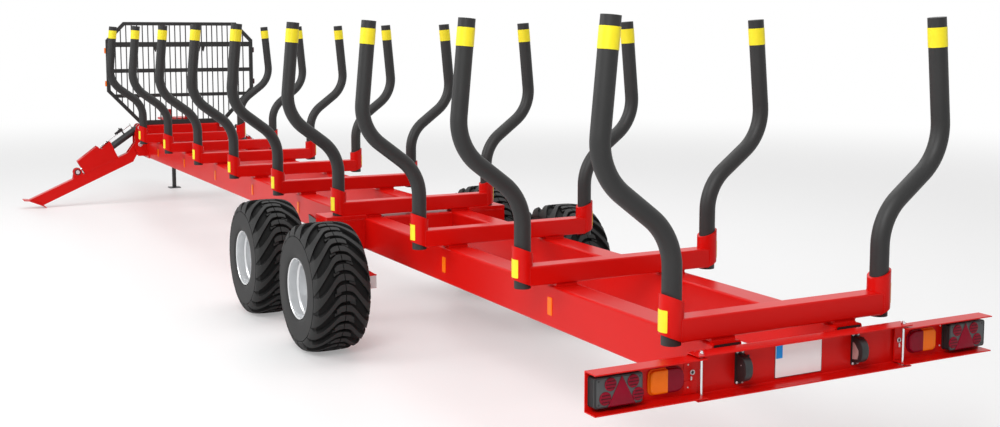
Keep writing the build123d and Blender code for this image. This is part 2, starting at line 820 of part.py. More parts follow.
seat_x = along(seat_ahead)
with BuildPart() as crane_seat:
    with BuildSketch(Plane.XY.offset(head_high + head_plate)):
        with Locations((seat_x - 20, 0)):
            RectangleRounded(crane_post_size, crane_post_size, 20)
            RectangleRounded(crane_post_size - 24, crane_post_size - 24, 8, mode=Mode.SUBTRACT)
    extrude(amount=crane_seat_top_z - crane_seat_flange - head_high - head_plate)
    with BuildSketch(Plane.XY.offset(crane_seat_top_z - crane_seat_flange)):
        with Locations((seat_x, 0)):
            RectangleRounded(crane_seat_size, crane_seat_size, 30)
            with PolarLocations(crane_bolt_circle / 2, crane_bolt_count, start_angle=22.5):
                Circle(crane_bolt_hole / 2, mode=Mode.SUBTRACT)
            Circle(70, mode=Mode.SUBTRACT)
    extrude(amount=crane_seat_flange)
save(crane_seat, "crane_seat")

# Drawbar: knuckle, tapered box, ram arms, stand sleeve and the flange for the eye
stand_x = along(drawbar_pivot_ahead + stand_out)
flange_x = along(drawbar_pivot_ahead + drawbar_flange_out)
root_x = pivot_x + knuckle_radius - 12
arm_x = along(drawbar_pivot_ahead + steer_arm_out)
with BuildPart() as drawbar:
    with BuildSketch(Plane.XY.offset(knuckle_z - knuckle_height / 2)):
        with Locations((pivot_x, 0)):
            Circle(knuckle_radius)
    extrude(amount=knuckle_height)
    with BuildSketch(Plane.YZ.offset(root_x)):
        with Locations((0, knuckle_z)):
            Rectangle(drawbar_root_width, knuckle_height)
    with BuildSketch(Plane.YZ.offset(flange_x)):
        with Locations((0, eye_z)):
            Rectangle(drawbar_tip_width, drawbar_tip_width)
    loft()
    with BuildSketch(Plane.YZ.offset(root_x + 40)):
        with Locations((0, knuckle_z - 12)):
            Rectangle(drawbar_root_width - 4 * drawbar_wall, knuckle_height - 4 * drawbar_wall)
    with BuildSketch(Plane.YZ.offset(flange_x - 80)):
        with Locations((0, eye_z + 8)):
            Rectangle(drawbar_tip_width - 3 * drawbar_wall, drawbar_tip_width - 3 * drawbar_wall)
    loft(mode=Mode.SUBTRACT)
    for side in (1, -1):
        for ear_z in (-steer_ear_gap / 2 - steer_ear_plate, steer_ear_gap / 2):
            with BuildSketch(Plane.XY.offset(steer_z + ear_z)):
                with Locations((arm_x, side * steer_arm_y)):
                    Circle(steer_ear_radius)
                with Locations((arm_x, side * steer_arm_y / 2)):
                    Rectangle(2 * steer_ear_radius, steer_arm_y)
            extrude(amount=steer_ear_plate)
        for head_z in (-steer_ear_gap / 2 - steer_ear_plate - 6, steer_ear_gap / 2 + steer_ear_plate):
            with BuildSketch(Plane.XY.offset(steer_z + head_z)):
                with Locations((arm_x, side * steer_arm_y)):
                    Circle(steer_ram["pin"] + 6)
            extrude(amount=6)
    with BuildSketch(Plane.XY.offset(stand_sleeve_low_z)):
        with Locations((stand_x, stand_y)):
            Circle(stand_radius + slip + stand_sleeve_wall)
    extrude(amount=stand_sleeve_top_z - stand_sleeve_low_z)
    for bracket_z in stand_bracket_low_zs:
        with BuildSketch(Plane.XY.offset(bracket_z)):
            with Locations((stand_x, stand_y / 2)):
                Rectangle(70, abs(stand_y))
        extrude(amount=stand_bracket_plate)
    with BuildSketch(Plane.XY.offset(stand_sleeve_low_z)):
        with Locations((stand_x, stand_y)):
            Circle(stand_radius + slip)
    extrude(amount=stand_sleeve_top_z - stand_sleeve_low_z, mode=Mode.SUBTRACT)
    with BuildSketch(Plane.XY.offset(knuckle_z - knuckle_height)):
        with Locations((pivot_x, 0)):
            Circle(drawbar_pin_radius + slip)
    extrude(amount=2 * knuckle_height, mode=Mode.SUBTRACT)
    with BuildSketch(Plane.YZ.offset(flange_x)):
        with Locations((0, eye_z)):
            Circle(eye_flange_radius + 15)
    extrude(amount=25)
    with BuildSketch(Plane.YZ.offset(flange_x - 60)):
        with Locations((0, eye_z)):
            Circle(30 + slip)
    extrude(amount=90, mode=Mode.SUBTRACT)
save(drawbar, "drawbar")

eye_x = along(drawbar_pivot_ahead + drawbar_eye_out)
with BuildPart() as tow_eye:
    with BuildSketch(Plane.YZ.offset(flange_x + 25 + slip)):
        with Locations((0, eye_z)):
            Circle(eye_flange_radius)
    extrude(amount=28)
    with BuildSketch(Plane.YZ.offset(flange_x - 50)):
        with Locations((0, eye_z)):
            Circle(30)
    extrude(amount=90)
    with BuildSketch(Plane.YZ.offset(flange_x + 45)):
        with Locations((0, eye_z)):
            Circle(40)
    with BuildSketch(Plane.YZ.offset(eye_x - eye_ring_radius + 25)):
        with Locations((0, eye_z)):
            Rectangle(66, eye_thickness - 8)
    loft()
    with BuildSketch(Plane.XY.offset(eye_z - eye_thickness / 2)):
        with Locations((eye_x, 0)):
            Circle(eye_ring_radius)
    extrude(amount=eye_thickness)
    with BuildSketch(Plane.XY.offset(eye_z - eye_thickness)):
        with Locations((eye_x, 0)):
            Circle(eye_bore_radius)
    extrude(amount=2 * eye_thickness, mode=Mode.SUBTRACT)
save(tow_eye, "tow_eye")

# Parking stand
with BuildPart() as stand:
    with BuildSketch(Plane.XY):
        with Locations((stand_x, stand_y)):
            RectangleRounded(stand_foot_size, stand_foot_size, 20)
    extrude(amount=stand_foot_plate)
    with BuildSketch(Plane.XY.offset(stand_foot_plate)):
        with Locations((stand_x, stand_y)):
            Circle(stand_radius)
            Circle(stand_radius - stand_wall, mode=Mode.SUBTRACT)
    extrude(amount=stand_top_z - stand_foot_plate)
save(stand, "parking_stand")

# Bogie hangers under the cross box, with the pin that the bogie beam rocks on
bogie_x = along(bogie_ahead)
with BuildPart() as hangers:
    for side in (1, -1):
        for face_y in (hanger_inner - hanger_thickness, hanger_outer):
            with BuildSketch(Plane.XZ.offset(-side * face_y)):
                with BuildLine():
                    Polyline(
                        (bogie_x - hanger_width / 2, beam_low), (bogie_x + hanger_width / 2, beam_low),
                        (bogie_x + hanger_foot_radius, bogie_pivot_z),
                        (bogie_x - hanger_foot_radius, bogie_pivot_z), close=True,
                    )
                make_face()
                with Locations((bogie_x, bogie_pivot_z)):
                    Circle(hanger_foot_radius)
            extrude(amount=-side * hanger_thickness)
        with BuildSketch(Plane.XZ.offset(-side * (hanger_inner - hanger_thickness))):
            with Locations((bogie_x, bogie_pivot_z)):
                Circle(bogie_pin_radius)
        extrude(amount=-side * (hanger_outer - hanger_inner + 2 * hanger_thickness))
save(hangers, "bogie_hangers")

# Bogie beams with their spindles
wheel_aheads = (bogie_ahead - wheel_spacing / 2, bogie_ahead + wheel_spacing / 2)
half = wheel_spacing / 2 + bogie_beam_overhang
top = bogie_pivot_z + bogie_beam_middle_height / 2
low = bogie_pivot_z - bogie_beam_middle_height / 2
end_high = bogie_pivot_z + bogie_beam_end_lift + bogie_beam_end_height / 2
end_low = end_high - bogie_beam_end_height
for side, word in sides:
    with BuildPart() as bogie:
        with BuildSketch(Plane.XZ.offset(-side * (bogie_beam_y - bogie_beam_width / 2))):
            with BuildLine():
                Polyline(
                    (bogie_x - half, end_high), (bogie_x - 250, top), (bogie_x + 250, top),
                    (bogie_x + half, end_high), (bogie_x + half, end_low), (bogie_x + 250, low),
                    (bogie_x - 250, low), (bogie_x - half, end_low), close=True,
                )
            make_face()
            with Locations((bogie_x, bogie_pivot_z)):
                Circle(bogie_pin_radius + slip, mode=Mode.SUBTRACT)
        extrude(amount=-side * bogie_beam_width)
        with BuildSketch(Plane.XZ.offset(-side * (bogie_beam_y - bogie_beam_width / 2 + bogie_beam_wall))):
            with Locations(*[(bogie_x + way * wheel_spacing * 0.27, bogie_pivot_z) for way in (1, -1)]):
                Rectangle(wheel_spacing * 0.3, bogie_beam_end_height)
        extrude(amount=-side * (bogie_beam_width - 2 * bogie_beam_wall), mode=Mode.SUBTRACT)
        for ahead in wheel_aheads:
            with BuildSketch(Plane.XZ.offset(-side * (bogie_beam_y + bogie_beam_width / 2))):
                with Locations((along(ahead), bogie_pivot_z)):
                    Circle(bogie_boss_radius)
            extrude(amount=-side * bogie_boss_length)
            with BuildSketch(Plane.XZ.offset(-side * drum_plate_y)):
                with Locations((along(ahead), bogie_pivot_z)):
                    Circle(drum_plate_radius)
            extrude(amount=-side * drum_plate)
            with BuildSketch(Plane.XZ.offset(-side * bogie_beam_y)):
                with Locations((along(ahead), bogie_pivot_z)):
                    Circle(spindle_radius)
            extrude(amount=-side * (wheel_outer_y - rim_disc_inset + 20 - bogie_beam_y))
    save(bogie, f"bogie_beam_{word}")

# Tyre: a revolved carcass, with a row of lugs on each half that run down as they go outward
tyre_half = tyre_width / 2
lug_pitch = 2 * pi * tyre_radius / lug_count


def lug_top(outline, middle, slope, height):
    """A lug's top face, on a plane that leans down towards the shoulder."""
    turn = middle * lug_pitch / tyre_radius
    radial = Vector(-sin(turn), 0, cos(turn))
    lean = radians(slope)
    top_plane = Plane(
        origin=radial * height,
        x_dir=Vector(0, cos(lean), 0) - radial * sin(lean),
        z_dir=radial * cos(lean) + Vector(0, sin(lean), 0),
    )
    with BuildSketch(top_plane) as face:
        with BuildLine():
            Polyline(
                *[(out * tyre_half / cos(lean), (shift - middle) * lug_pitch) for out, shift in outline],
                close=True,
            )
        make_face()
    return face.sketch


def lug_height(outline, middle):
    """The height of a flat top whose furthest corner is just at the tyre's radius."""
    reach = max(abs(shift - middle) for out, shift in outline) * lug_pitch
    return sqrt(tyre_radius**2 - reach**2)


flat_middle = (lug_flat[0][1] + lug_flat[3][1]) / 2
shoulder_middle = (lug_shoulder[0][1] + lug_shoulder[2][1]) / 2
flat_height = lug_height(lug_flat, flat_middle)
shoulder_drop = tan(radians(lug_slope)) * lug_shoulder[0][0] * tyre_half
corner_turn = flat_middle * lug_pitch / tyre_radius + acos(flat_height / tyre_radius)
with BuildPart() as lug:
    extrude(lug_top(lug_flat, flat_middle, 0, flat_height), amount=-lug_depth)
    extrude(
        lug_top(lug_shoulder, shoulder_middle, lug_slope, lug_height(lug_shoulder[:1], shoulder_middle) + shoulder_drop),
        amount=-lug_depth,
    )

side_line = [(share * tyre_half, tyre_radius - drop) for share, drop in tread_profile]
side_line += [(tyre_half, rim_radius + 30), (tyre_half - rim_inset - 10, rim_radius)]
with BuildPart() as plain_tyre:
    with BuildSketch(Plane.YZ):
        with BuildLine():
            Polyline(*side_line, *[(-out, radius) for out, radius in reversed(side_line[1:])], close=True)
        make_face()
    revolve(axis=Axis.Y)
    other_lug = lug.part.mirror(Plane.XZ)
    lugs = []
    for number in range(lug_count):
        lug_turn = degrees(corner_turn) + 180 - 360 / lug_count * number
        lugs.append(Rotation(0, lug_turn, 0) * lug.part)
        lugs.append(Rotation(0, lug_turn + 180 / lug_count, 0) * other_lug)
    add(lugs)

# Wheels: the rim's profile revolved about the axle line, and the tyre set on it
rim_outer_y = wheel_outer_y - rim_inset
rim_inner_y = wheel_inner_y + rim_inset
disc_y = wheel_outer_y - rim_disc_inset
wheel_places = [
    (ahead, side, f"{row}_{word}")
    for ahead, row in zip(wheel_aheads, ("rear", "front"))
    for side, word in sides
]
for ahead, side, name in wheel_places:
    profile_plane = Plane(origin=(along(ahead), 0, bogie_pivot_z), x_dir=(0, side, 0), z_dir=(1, 0, 0))
    axle_line = Axis((along(ahead), 0, bogie_pivot_z), (0, 1, 0))
    with BuildPart() as rim:
        with BuildSketch(profile_plane):
            with BuildLine():
                Polyline(
                    (rim_inner_y, rim_radius), (rim_inner_y, rim_radius - rim_thickness),
                    (disc_y - 40, rim_radius - rim_step - rim_thickness),
                    (disc_y - rim_disc, rim_radius - rim_step - rim_thickness - 4), (disc_y - rim_disc, hub_radius),
                    (drum_outer_y, hub_radius), (drum_outer_y, drum_radius), (drum_inner_y, drum_radius),
                    (drum_inner_y, spindle_radius + slip),
                    (disc_y + 30, spindle_radius + slip), (disc_y + 30, 0), (disc_y + hub_cap_length, 0),
                    (disc_y + hub_cap_length, hub_cap_radius - 12), (disc_y + hub_cap_length - 12, hub_cap_radius),
                    (disc_y, hub_cap_radius), (disc_y, rim_radius - rim_step - rim_thickness),
                    (rim_outer_y - rim_step_inset - 12, rim_radius - rim_step - rim_thickness),
                    (rim_outer_y - rim_step_inset, rim_radius - rim_thickness - 4),
                    (rim_outer_y - 6, rim_radius - rim_thickness), (rim_outer_y, rim_radius - 3),
                    (rim_outer_y, rim_radius), (rim_outer_y - 50, rim_radius),
                    (rim_outer_y - 65, rim_radius - 4), (rim_inner_y + 65, rim_radius - 4),
                    (rim_inner_y + 50, rim_radius), close=True,
                )
            make_face()
        revolve(axis=axle_line)
    save(rim, f"rim_{name}")

    with BuildPart() as tyre:
        with Locations((along(ahead), side * (wheel_inner_y + wheel_outer_y) / 2, bogie_pivot_z)):
            add(plain_tyre.part)
    save(tyre, f"tyre_{name}")


# Light bar
def channel(low_y, high_y, face_x, depth, low_z, high_z, thickness):
    """A channel open to the rear, between two y values, added to the part in hand."""
    with BuildSketch(Plane.XZ.offset(-low_y)) as section:
        with BuildLine():
            Polyline(
                (face_x + thickness, low_z), (face_x - depth, low_z), (face_x - depth, low_z + thickness),
                (face_x, low_z + thickness), (face_x, high_z - thickness), (face_x - depth, high_z - thickness),
                (face_x - depth, high_z), (face_x + thickness, high_z), close=True,
            )
        make_face()
    extrude(section.sketch, amount=-(high_y - low_y))


bar_face_x = along(bar_web_face)
wing_face_x = along(wing_web_face)
wing_pin_x = along(wing_pin_ahead)
beam_rear_x = along(-beam_rear_overhang) - end_plate
with BuildPart() as bar:
    channel(-bar_half_width, bar_half_width, bar_face_x, bar_depth, bar_low_z, bar_top_z, bar_web)
    for side in (1, -1):
        with BuildSketch(Plane.XY.offset(bar_top_z - 30)):
            with Locations(((bar_face_x + bar_web + beam_rear_x) / 2, side * beam_y)):
                Rectangle(beam_rear_x - bar_face_x - bar_web + 2 * 0, beam_width - 20)
        extrude(amount=30)
        with BuildSketch(Plane.XY.offset(bar_low_z + 10)):
            with Locations(((bar_face_x + bar_web + beam_rear_x) / 2, side * beam_y)):
                Rectangle(beam_rear_x - bar_face_x - bar_web, beam_width - 20)
        extrude(amount=12)
        with BuildSketch(Plane.XY.offset(bar_low_z)):
            with Locations((wing_pin_x, side * wing_pin_y)):
                Circle(wing_pin_radius)
        extrude(amount=bar_top_z - bar_low_z, mode=Mode.SUBTRACT)
        with BuildSketch(Plane.YZ.offset(bar_face_x - bar_depth + 30)):
            with BuildLine():
                Polyline(
                    (side * beam_y - loop_width / 2, bar_top_z),
                    (side * beam_y - loop_width / 2 + loop_height / 2, bar_top_z + loop_height),
                    (side * beam_y + loop_width / 2 - loop_height / 2, bar_top_z + loop_height),
                    (side * beam_y + loop_width / 2, bar_top_z), close=True,
                )
            make_face()
            offset(amount=-loop_plate, kind=Kind.INTERSECTION, mode=Mode.SUBTRACT)
        extrude(amount=loop_length)
save(bar, "light_bar")

# Pins of the two wings, with a nut above
with BuildPart() as wing_pins:
    for side in (1, -1):
        with BuildSketch(Plane.XY.offset(bar_low_z - wing_pin_stub / 2)):
            with Locations((wing_pin_x, side * wing_pin_y)):
                Circle(wing_pin_radius)
        extrude(amount=bar_top_z - bar_low_z + wing_nut + 1.5 * wing_pin_stub)
        with BuildSketch(Plane.XY.offset(bar_top_z)):
            with Locations((wing_pin_x, side * wing_pin_y)):
                RegularPolygon(wing_nut_radius, 6)
        extrude(amount=wing_nut)
save(wing_pins, "wing_pins")

wing_low_z = bar_low_z + bar_web + wing_gap
wing_top_z = bar_top_z - bar_web - wing_gap
wing_root_y = wing_pin_y - wing_inner_lap
lamp_z = (wing_low_z + wing_top_z) / 2
lamp_box_y = wing_outer_y - lamp_edge_gap - lamp_box_width / 2
triangle_y = lamp_box_y - triangle_inward
strip_outer_y = lamp_box_y - lamp_box_width / 2 - strip_from_lamp
strip_split_y = strip_outer_y - strip_amber_width
strip_inner_y = strip_split_y - strip_red_width


def strip_section(side, low_y, high_y):
    """The part of the strip lamp's rounded outline between two distances out."""
    strip_width = strip_outer_y - strip_inner_y
    with BuildSketch(Plane.YZ.offset(wing_face_x)) as section:
        with Locations((side * (strip_outer_y + strip_inner_y) / 2, lamp_z - 4)):
            RectangleRounded(strip_width, strip_lens_height, strip_lens_corner)
        with Locations((side * (low_y + high_y) / 2, lamp_z - 4)):
            Rectangle(high_y - low_y, strip_lens_height, mode=Mode.INTERSECT)
    return section.sketch


for side, word in sides:
    with BuildPart() as wing:
        if side > 0:
            channel(wing_root_y, wing_outer_y, wing_face_x, wing_depth, wing_low_z, wing_top_z, bar_web)
        else:
            channel(-wing_outer_y, -wing_root_y, wing_face_x, wing_depth, wing_low_z, wing_top_z, bar_web)
        with BuildSketch(Plane.XY.offset(wing_low_z - 1)):
            with Locations((wing_pin_x, side * wing_pin_y)):
                Circle(wing_pin_radius + slip)
        extrude(amount=wing_top_z - wing_low_z + 2, mode=Mode.SUBTRACT)
    save(wing, f"light_wing_{word}")

    with BuildPart() as lamp_box:
        with BuildSketch(Plane.YZ.offset(wing_face_x)):
            with Locations((side * lamp_box_y, lamp_z)):
                RectangleRounded(lamp_box_width, lamp_box_height, 22)
        extrude(amount=-lamp_depth)
    save(lamp_box, f"lamp_box_{word}")

    with BuildPart() as red_lenses:
        with BuildSketch(Plane.YZ.offset(wing_face_x - lamp_depth)):
            for lens_out, lens_above in round_lens_places:
                with Locations((side * (triangle_y + lens_out), lamp_z + lens_above)):
                    Circle(round_lens_radius)
            with BuildLine():
                Polyline(
                    (side * (triangle_y - triangle_half), lamp_z - triangle_height / 2),
                    (side * (triangle_y + triangle_half), lamp_z - triangle_height / 2),
                    (side * triangle_y, lamp_z + triangle_height / 2), close=True,
                )
            make_face()
        extrude(amount=-lens_thickness)
        extrude(strip_section(side, strip_inner_y, strip_split_y - 0.5), amount=-strip_lens_depth)
    save(red_lenses, f"red_lenses_{word}")

    with BuildPart() as amber_lens:
        extrude(strip_section(side, strip_split_y, strip_outer_y), amount=-strip_lens_depth)
    save(amber_lens, f"amber_lens_{word}")

with BuildPart() as number_plate:
    with BuildSketch(Plane.YZ.offset(bar_face_x)):
        with Locations((0, lamp_z)):
            RectangleRounded(plate_width, plate_height, 8)
    extrude(amount=-plate_thickness)
save(number_plate, "number_plate")

with BuildPart() as plate_lamps:
    for side in (1, -1):
        with BuildSketch(Plane.XZ.offset(-(side * plate_lamp_y - plate_lamp_width / 2))):
            with BuildLine():
                lamp_back = Polyline(
                    (bar_face_x - plate_lamp_shoulder, lamp_z + plate_lamp_height / 2),
                    (bar_face_x, lamp_z + plate_lamp_height / 2),
                    (bar_face_x, lamp_z - plate_lamp_height / 2),
                    (bar_face_x - plate_lamp_shoulder, lamp_z - plate_lamp_height / 2),
                )
                ThreePointArc(lamp_back @ 1, (bar_face_x - plate_lamp_depth, lamp_z), lamp_back @ 0)
            make_face()
        extrude(amount=-plate_lamp_width)
save(plate_lamps, "plate_lamps")

print("leg pin height", round(leg_pin_z, 1), "nodes", len(os.listdir("parts")))
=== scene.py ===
import json
import math

import bmesh
import bpy
from mathutils import Matrix, Vector


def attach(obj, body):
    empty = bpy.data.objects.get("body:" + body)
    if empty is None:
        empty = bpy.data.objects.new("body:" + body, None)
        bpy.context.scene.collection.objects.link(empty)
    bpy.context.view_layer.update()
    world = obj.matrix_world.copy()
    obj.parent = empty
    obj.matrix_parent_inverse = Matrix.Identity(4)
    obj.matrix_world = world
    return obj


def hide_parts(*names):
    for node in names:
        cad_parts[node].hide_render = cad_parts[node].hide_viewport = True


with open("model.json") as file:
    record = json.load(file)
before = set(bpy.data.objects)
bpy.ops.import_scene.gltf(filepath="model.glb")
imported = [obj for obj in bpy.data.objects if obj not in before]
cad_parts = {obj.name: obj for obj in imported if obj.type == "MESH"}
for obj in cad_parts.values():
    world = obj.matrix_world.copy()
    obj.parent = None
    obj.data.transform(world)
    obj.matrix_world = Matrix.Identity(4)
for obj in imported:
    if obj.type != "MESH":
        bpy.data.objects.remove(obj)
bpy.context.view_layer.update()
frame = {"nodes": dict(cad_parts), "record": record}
print("frame loaded")

# Everything is in metres. X runs forward, Y to the left, Z up from the ground. A length called ahead is
# counted from the rear bunk, and the frame's middle is middleAhead from there.
middleAhead = 7.7045
sides = ((1, "left", "Left"), (-1, "right", "Right"))
fourWays = ((-1, -1), (-1, 1), (1, -1), (1, 1))
beamSide = 0.4895  # y of what sits on a beam's outer face
beamBead = 0.4915  # y of a weld bead on that face
longRipple = 0.005  # ripple of the long weld beads
scene = bpy.context.scene


def along(ahead):
    return ahead - middleAhead


bunkPlaces = [
    (side, along(ahead))
    for side, _, _ in sides
    for ahead in (0, 1.52, 3.04, 4.68, 6.32, 7.84, 9.36, 10.88, 12.40)
]

# Camera at the photograph's place behind the left rear corner
cameraView = {
    "place": (along(-4.858), 4.170, 2.423), "turn": -27.616, "tilt": -5.817, "lens": 44.33, "sensor": 36.0,
    "shiftY": -0.055, "clipEnd": 400.0,
}
cameraData = bpy.data.cameras.new("photoCamera")
cameraData.lens = cameraView["lens"]
cameraData.sensor_width = cameraView["sensor"]
cameraData.shift_y = cameraView["shiftY"]
cameraData.clip_end = cameraView["clipEnd"]
camera = bpy.data.objects.new("photoCamera", cameraData)
camera.location = cameraView["place"]
camera.rotation_euler = (math.radians(90 + cameraView["tilt"]), 0, math.radians(cameraView["turn"] - 90))
scene.collection.objects.link(camera)
scene.camera = camera
scene.view_settings.view_transform = "Standard"


# Materials
def linear(hexColour):
    # A written colour such as "c8141a" as the linear values that a shader takes
    values = [int(hexColour[i:i + 2], 16) / 255 for i in (0, 2, 4)]
    return tuple(v / 12.92 if v <= 0.04045 else ((v + 0.055) / 1.055) ** 2.4 for v in values) + (1.0,)


def wire(tree, node, values, joins):
    # Sets some of a node's sockets and joins others to the outputs of other nodes
    for socket, value in values.items():
        node.inputs[socket].default_value = value
    for socket, output in joins.items():
        tree.links.new(output, node.inputs[socket])


def addNode(tree, kind, values, joins, **settings):
    node = tree.nodes.new("ShaderNode" + kind)
    for setting, value in settings.items():
        setattr(node, setting, value)
    wire(tree, node, values, joins)
    return node


# What a look has where it says nothing else
plainLook = {
    "patch": 3.0, "patchDetail": 4.0, "grain": 60.0, "grainDetail": 5.0, "smudged": False,
    "specks": 0.12, "speckRange": (0.60, 0.72), "waves": 0.03, "waveDepth": 0.002, "relief": 0.05,
    "depth": 0.001, "metal": 0.0, "coat": 0.0, "coatRough": 0.1, "specular": 0.5,
}


def makeMaterial(name, look):
    # Colour, gloss and relief all vary by noise: broad patches, fine grain, and soft waves in the surface
    look = {**plainLook, "speck": look["second"], **look}
    material = bpy.data.materials.new(name)
    material.use_nodes = True
    tree = material.node_tree
    place = {"Vector": addNode(tree, "TexCoord", {}, {}).outputs["Object"]}
    broad, fine = [
        addNode(tree, "TexNoise", {"Scale": look[kind], "Detail": look[kind + "Detail"]}, place).outputs["Fac"]
        for kind in ("patch", "grain")
    ]
    tint = addNode(tree, "Mix", {"A": linear(look["colour"]), "B": linear(look["second"])},
                   {"Factor": broad}, data_type="RGBA")
    low, high = look["speckRange"]  # specks show in the few brightest grains
    speck = addNode(tree, "MapRange", {"From Min": low, "From Max": high, "To Max": look["specks"]},
                    {"Value": fine})
    grains = addNode(tree, "Mix", {"B": linear(look["speck"])},
                     {"Factor": speck.outputs["Result"], "A": tint.outputs["Result"]}, data_type="RGBA")
    low, high = look["rough"]
    gloss = addNode(tree, "MapRange", {"To Min": low, "To Max": high},
                    {"Value": broad if look["smudged"] else fine})
    waves = addNode(tree, "Bump", {"Strength": look["waves"], "Distance": look["waveDepth"]},
                    {"Height": broad})
    relief = addNode(tree, "Bump", {"Strength": look["relief"], "Distance": look["depth"]},
                     {"Height": fine, "Normal": waves.outputs["Normal"]})
    wire(tree, tree.nodes["Principled BSDF"], {
        "Metallic": look["metal"],
        "Coat Weight": look["coat"],
        "Coat Roughness": look["coatRough"],
        "Specular IOR Level": look["specular"],
    }, {
        "Base Color": grains.outputs["Result"],
        "Roughness": gloss.outputs["Result"],
        "Normal": relief.outputs["Normal"],
    })
    return material


looks = {
    "red_paint": {
        "colour": "d40e07", "second": "c90b06", "rough": (0.28, 0.36), "smudged": True, "coat": 0.02,
        "coatRough": 0.08, "specular": 0.16, "patch": 1.4, "grain": 260.0, "relief": 0.03,
        "depth": 0.0003, "waves": 0.012, "specks": 0.05, "speck": "a80a05",
    },
    "charcoal_paint": {
        "colour": "2a2a2a", "second": "232323", "rough": (0.42, 0.55), "patch": 6.0, "grain": 320.0,
        "specular": 0.35, "relief": 0.14, "depth": 0.0006, "specks": 0.3, "speck": "3a3a3a",
    },
    "black_paint": {"colour": "1c1d1e", "second": "232425", "rough": (0.3, 0.45), "grain": 200.0},
    "yellow_band": {
        "colour": "f7e71c", "second": "efdc18", "rough": (0.35, 0.5), "patch": 30.0, "grain": 400.0,
        "relief": 0.1, "depth": 0.0004, "specks": 0.2, "speck": "fff04a",
    },
    "silver_paint": {
        "colour": "e2e3e4", "second": "d3d5d7", "rough": (0.18, 0.26), "smudged": True, "metal": 0.55,
        "grain": 240.0, "patch": 9.0, "relief": 0.03, "depth": 0.0003, "waves": 0.04,
    },
    "chrome": {
        "colour": "dfe1e3", "second": "d6d8da", "rough": (0.06, 0.12), "metal": 1.0, "grain": 80.0,
        "relief": 0.01, "waves": 0.01,
    },
    "tyre": {
        "colour": "272727", "second": "1f1f1f", "rough": (0.55, 0.7), "patch": 8.0, "grain": 220.0,
        "specular": 0.28, "relief": 0.3, "depth": 0.0008, "specks": 0.35, "speck": "343434",
    },
    # A darker copy of the tyre rubber that paints the shade in the tread's recesses
    "tyreRecessShade": {
        "colour": "171717", "second": "121212", "rough": (0.65, 0.8), "patch": 8.0, "grain": 220.0,
        "specular": 0.15, "relief": 0.3, "depth": 0.0008,
    },
    "black_plastic": {
        "colour": "222324", "second": "1b1c1d", "rough": (0.4, 0.55), "grain": 500.0, "relief": 0.15,
        "depth": 0.0004, "specks": 0.3, "speck": "2e3031",
    },
    "red_lens": {
        "colour": "8c0424", "second": "7d031f", "rough": (0.2, 0.3), "specular": 0.15, "grain": 90.0,
        "patch": 14.0,
    },
    "amber_lens": {
        "colour": "f97a12", "second": "f0700c", "rough": (0.2, 0.3), "specular": 0.15, "grain": 90.0,
        "patch": 14.0,
    },
    "plate": {
        "colour": "fcfcfc", "second": "f8f8f9", "rough": (0.3, 0.42), "specular": 0.3, "grain": 120.0,
    },
    # A darker copy of the red lens that paints shade: in the lenses' grooves and on the right markers
    "shadedRedLens": {
        "colour": "4d0316", "second": "430212", "rough": (0.2, 0.3), "specular": 0.15, "grain": 90.0,
        "patch": 14.0,
    },
    "lampGrey": {
        "colour": "4b4d4e", "second": "434546", "rough": (0.4, 0.52), "grain": 420.0, "relief": 0.12,
        "depth": 0.0004, "patch": 12.0,
    },
    "blueStrip": {
        "colour": "1a9cf5", "second": "1693ea", "rough": (0.3, 0.4), "specular": 0.2, "grain": 200.0,
        "patch": 20.0,
    },
    "lampWindow": {
        "colour": "b49a97", "second": "a58d8a", "rough": (0.15, 0.25), "coat": 0.4, "grain": 150.0,
        "patch": 25.0,
    },
    "paleCap": {
        "colour": "dcdcdc", "second": "cfcfd0", "rough": (0.35, 0.5), "grain": 150.0, "patch": 12.0,
    },
    "zinc": {
        "colour": "dcdddf", "second": "c6c8cb", "rough": (0.2, 0.36), "metal": 0.55, "grain": 240.0,
        "patch": 30.0, "depth": 0.0003,
    },
}
materials = {name: makeMaterial(name, look) for name, look in looks.items()}
slotOf = {entry["node"]: entry["material_slot"] for entry in frame["record"]["subparts"]}
for name, node in frame["nodes"].items():
    node.data.materials.clear()
    node.data.materials.append(materials[slotOf[name]])
print("materials made")


# Mesh helpers that the pieces share. A spot is a matrix: a place with its own X, Y and Z.
def newMesh(name, work, crease=32.0):
    # Soft faces, with creases where two faces meet at more than the crease angle
    bmesh.ops.remove_doubles(work, verts=work.verts, dist=0.00001)
    bmesh.ops.recalc_face_normals(work, faces=work.faces)
    for face in work.faces:
        face.smooth = True
    for edge in work.edges:
        edge.smooth = len(edge.link_faces) == 2 and edge.calc_face_angle(0.0) < math.radians(crease)
    mesh = bpy.data.meshes.new(name)
    work.to_mesh(mesh)
    work.free()
    return mesh


def newPiece(name, work, body, slot, spot=None, finish=None, crease=32.0):
    # The work is a bmesh, or a mesh that several pieces share. A finish is a look other than the slot's.
    mesh = work if isinstance(work, bpy.types.Mesh) else newMesh(name, work, crease)
    piece = bpy.data.objects.new(name, mesh)
    if spot is not None:
        piece.matrix_world = spot
    scene.collection.objects.link(piece)
    if not mesh.materials:
        mesh.materials.append(materials[finish or slot])
    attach(piece, body)
    return piece


def makeSpot(centre, x, y, z):
    spot = Matrix((x, y, z)).transposed().to_4x4()
    spot.translation = Vector(centre)
    return spot


def facing(centre, normal):
    # A spot whose Z points along a level normal and whose Y points up
    z = Vector(normal)
    x = Vector((0, 0, 1)).cross(z)
    return makeSpot(centre, x, z.cross(x), z)


def rearSpot(x, y, z):
    return facing((x, y, z), (-1, 0, 0))


def sideSpot(side, x, y, z):
    return facing((x, side * y, z), (0, side, 0))


def ringSpots(spot, count, radius, height=0.0, start=0.5):
    # Spots on a circle about a spot's Z, the first one a share of a step on from its X
    turns = [2 * math.pi * (i + start) / count for i in range(count)]
    return [spot @ Matrix.Rotation(turn, 4, "Z") @ Matrix.Translation((radius, 0, height)) for turn in turns]


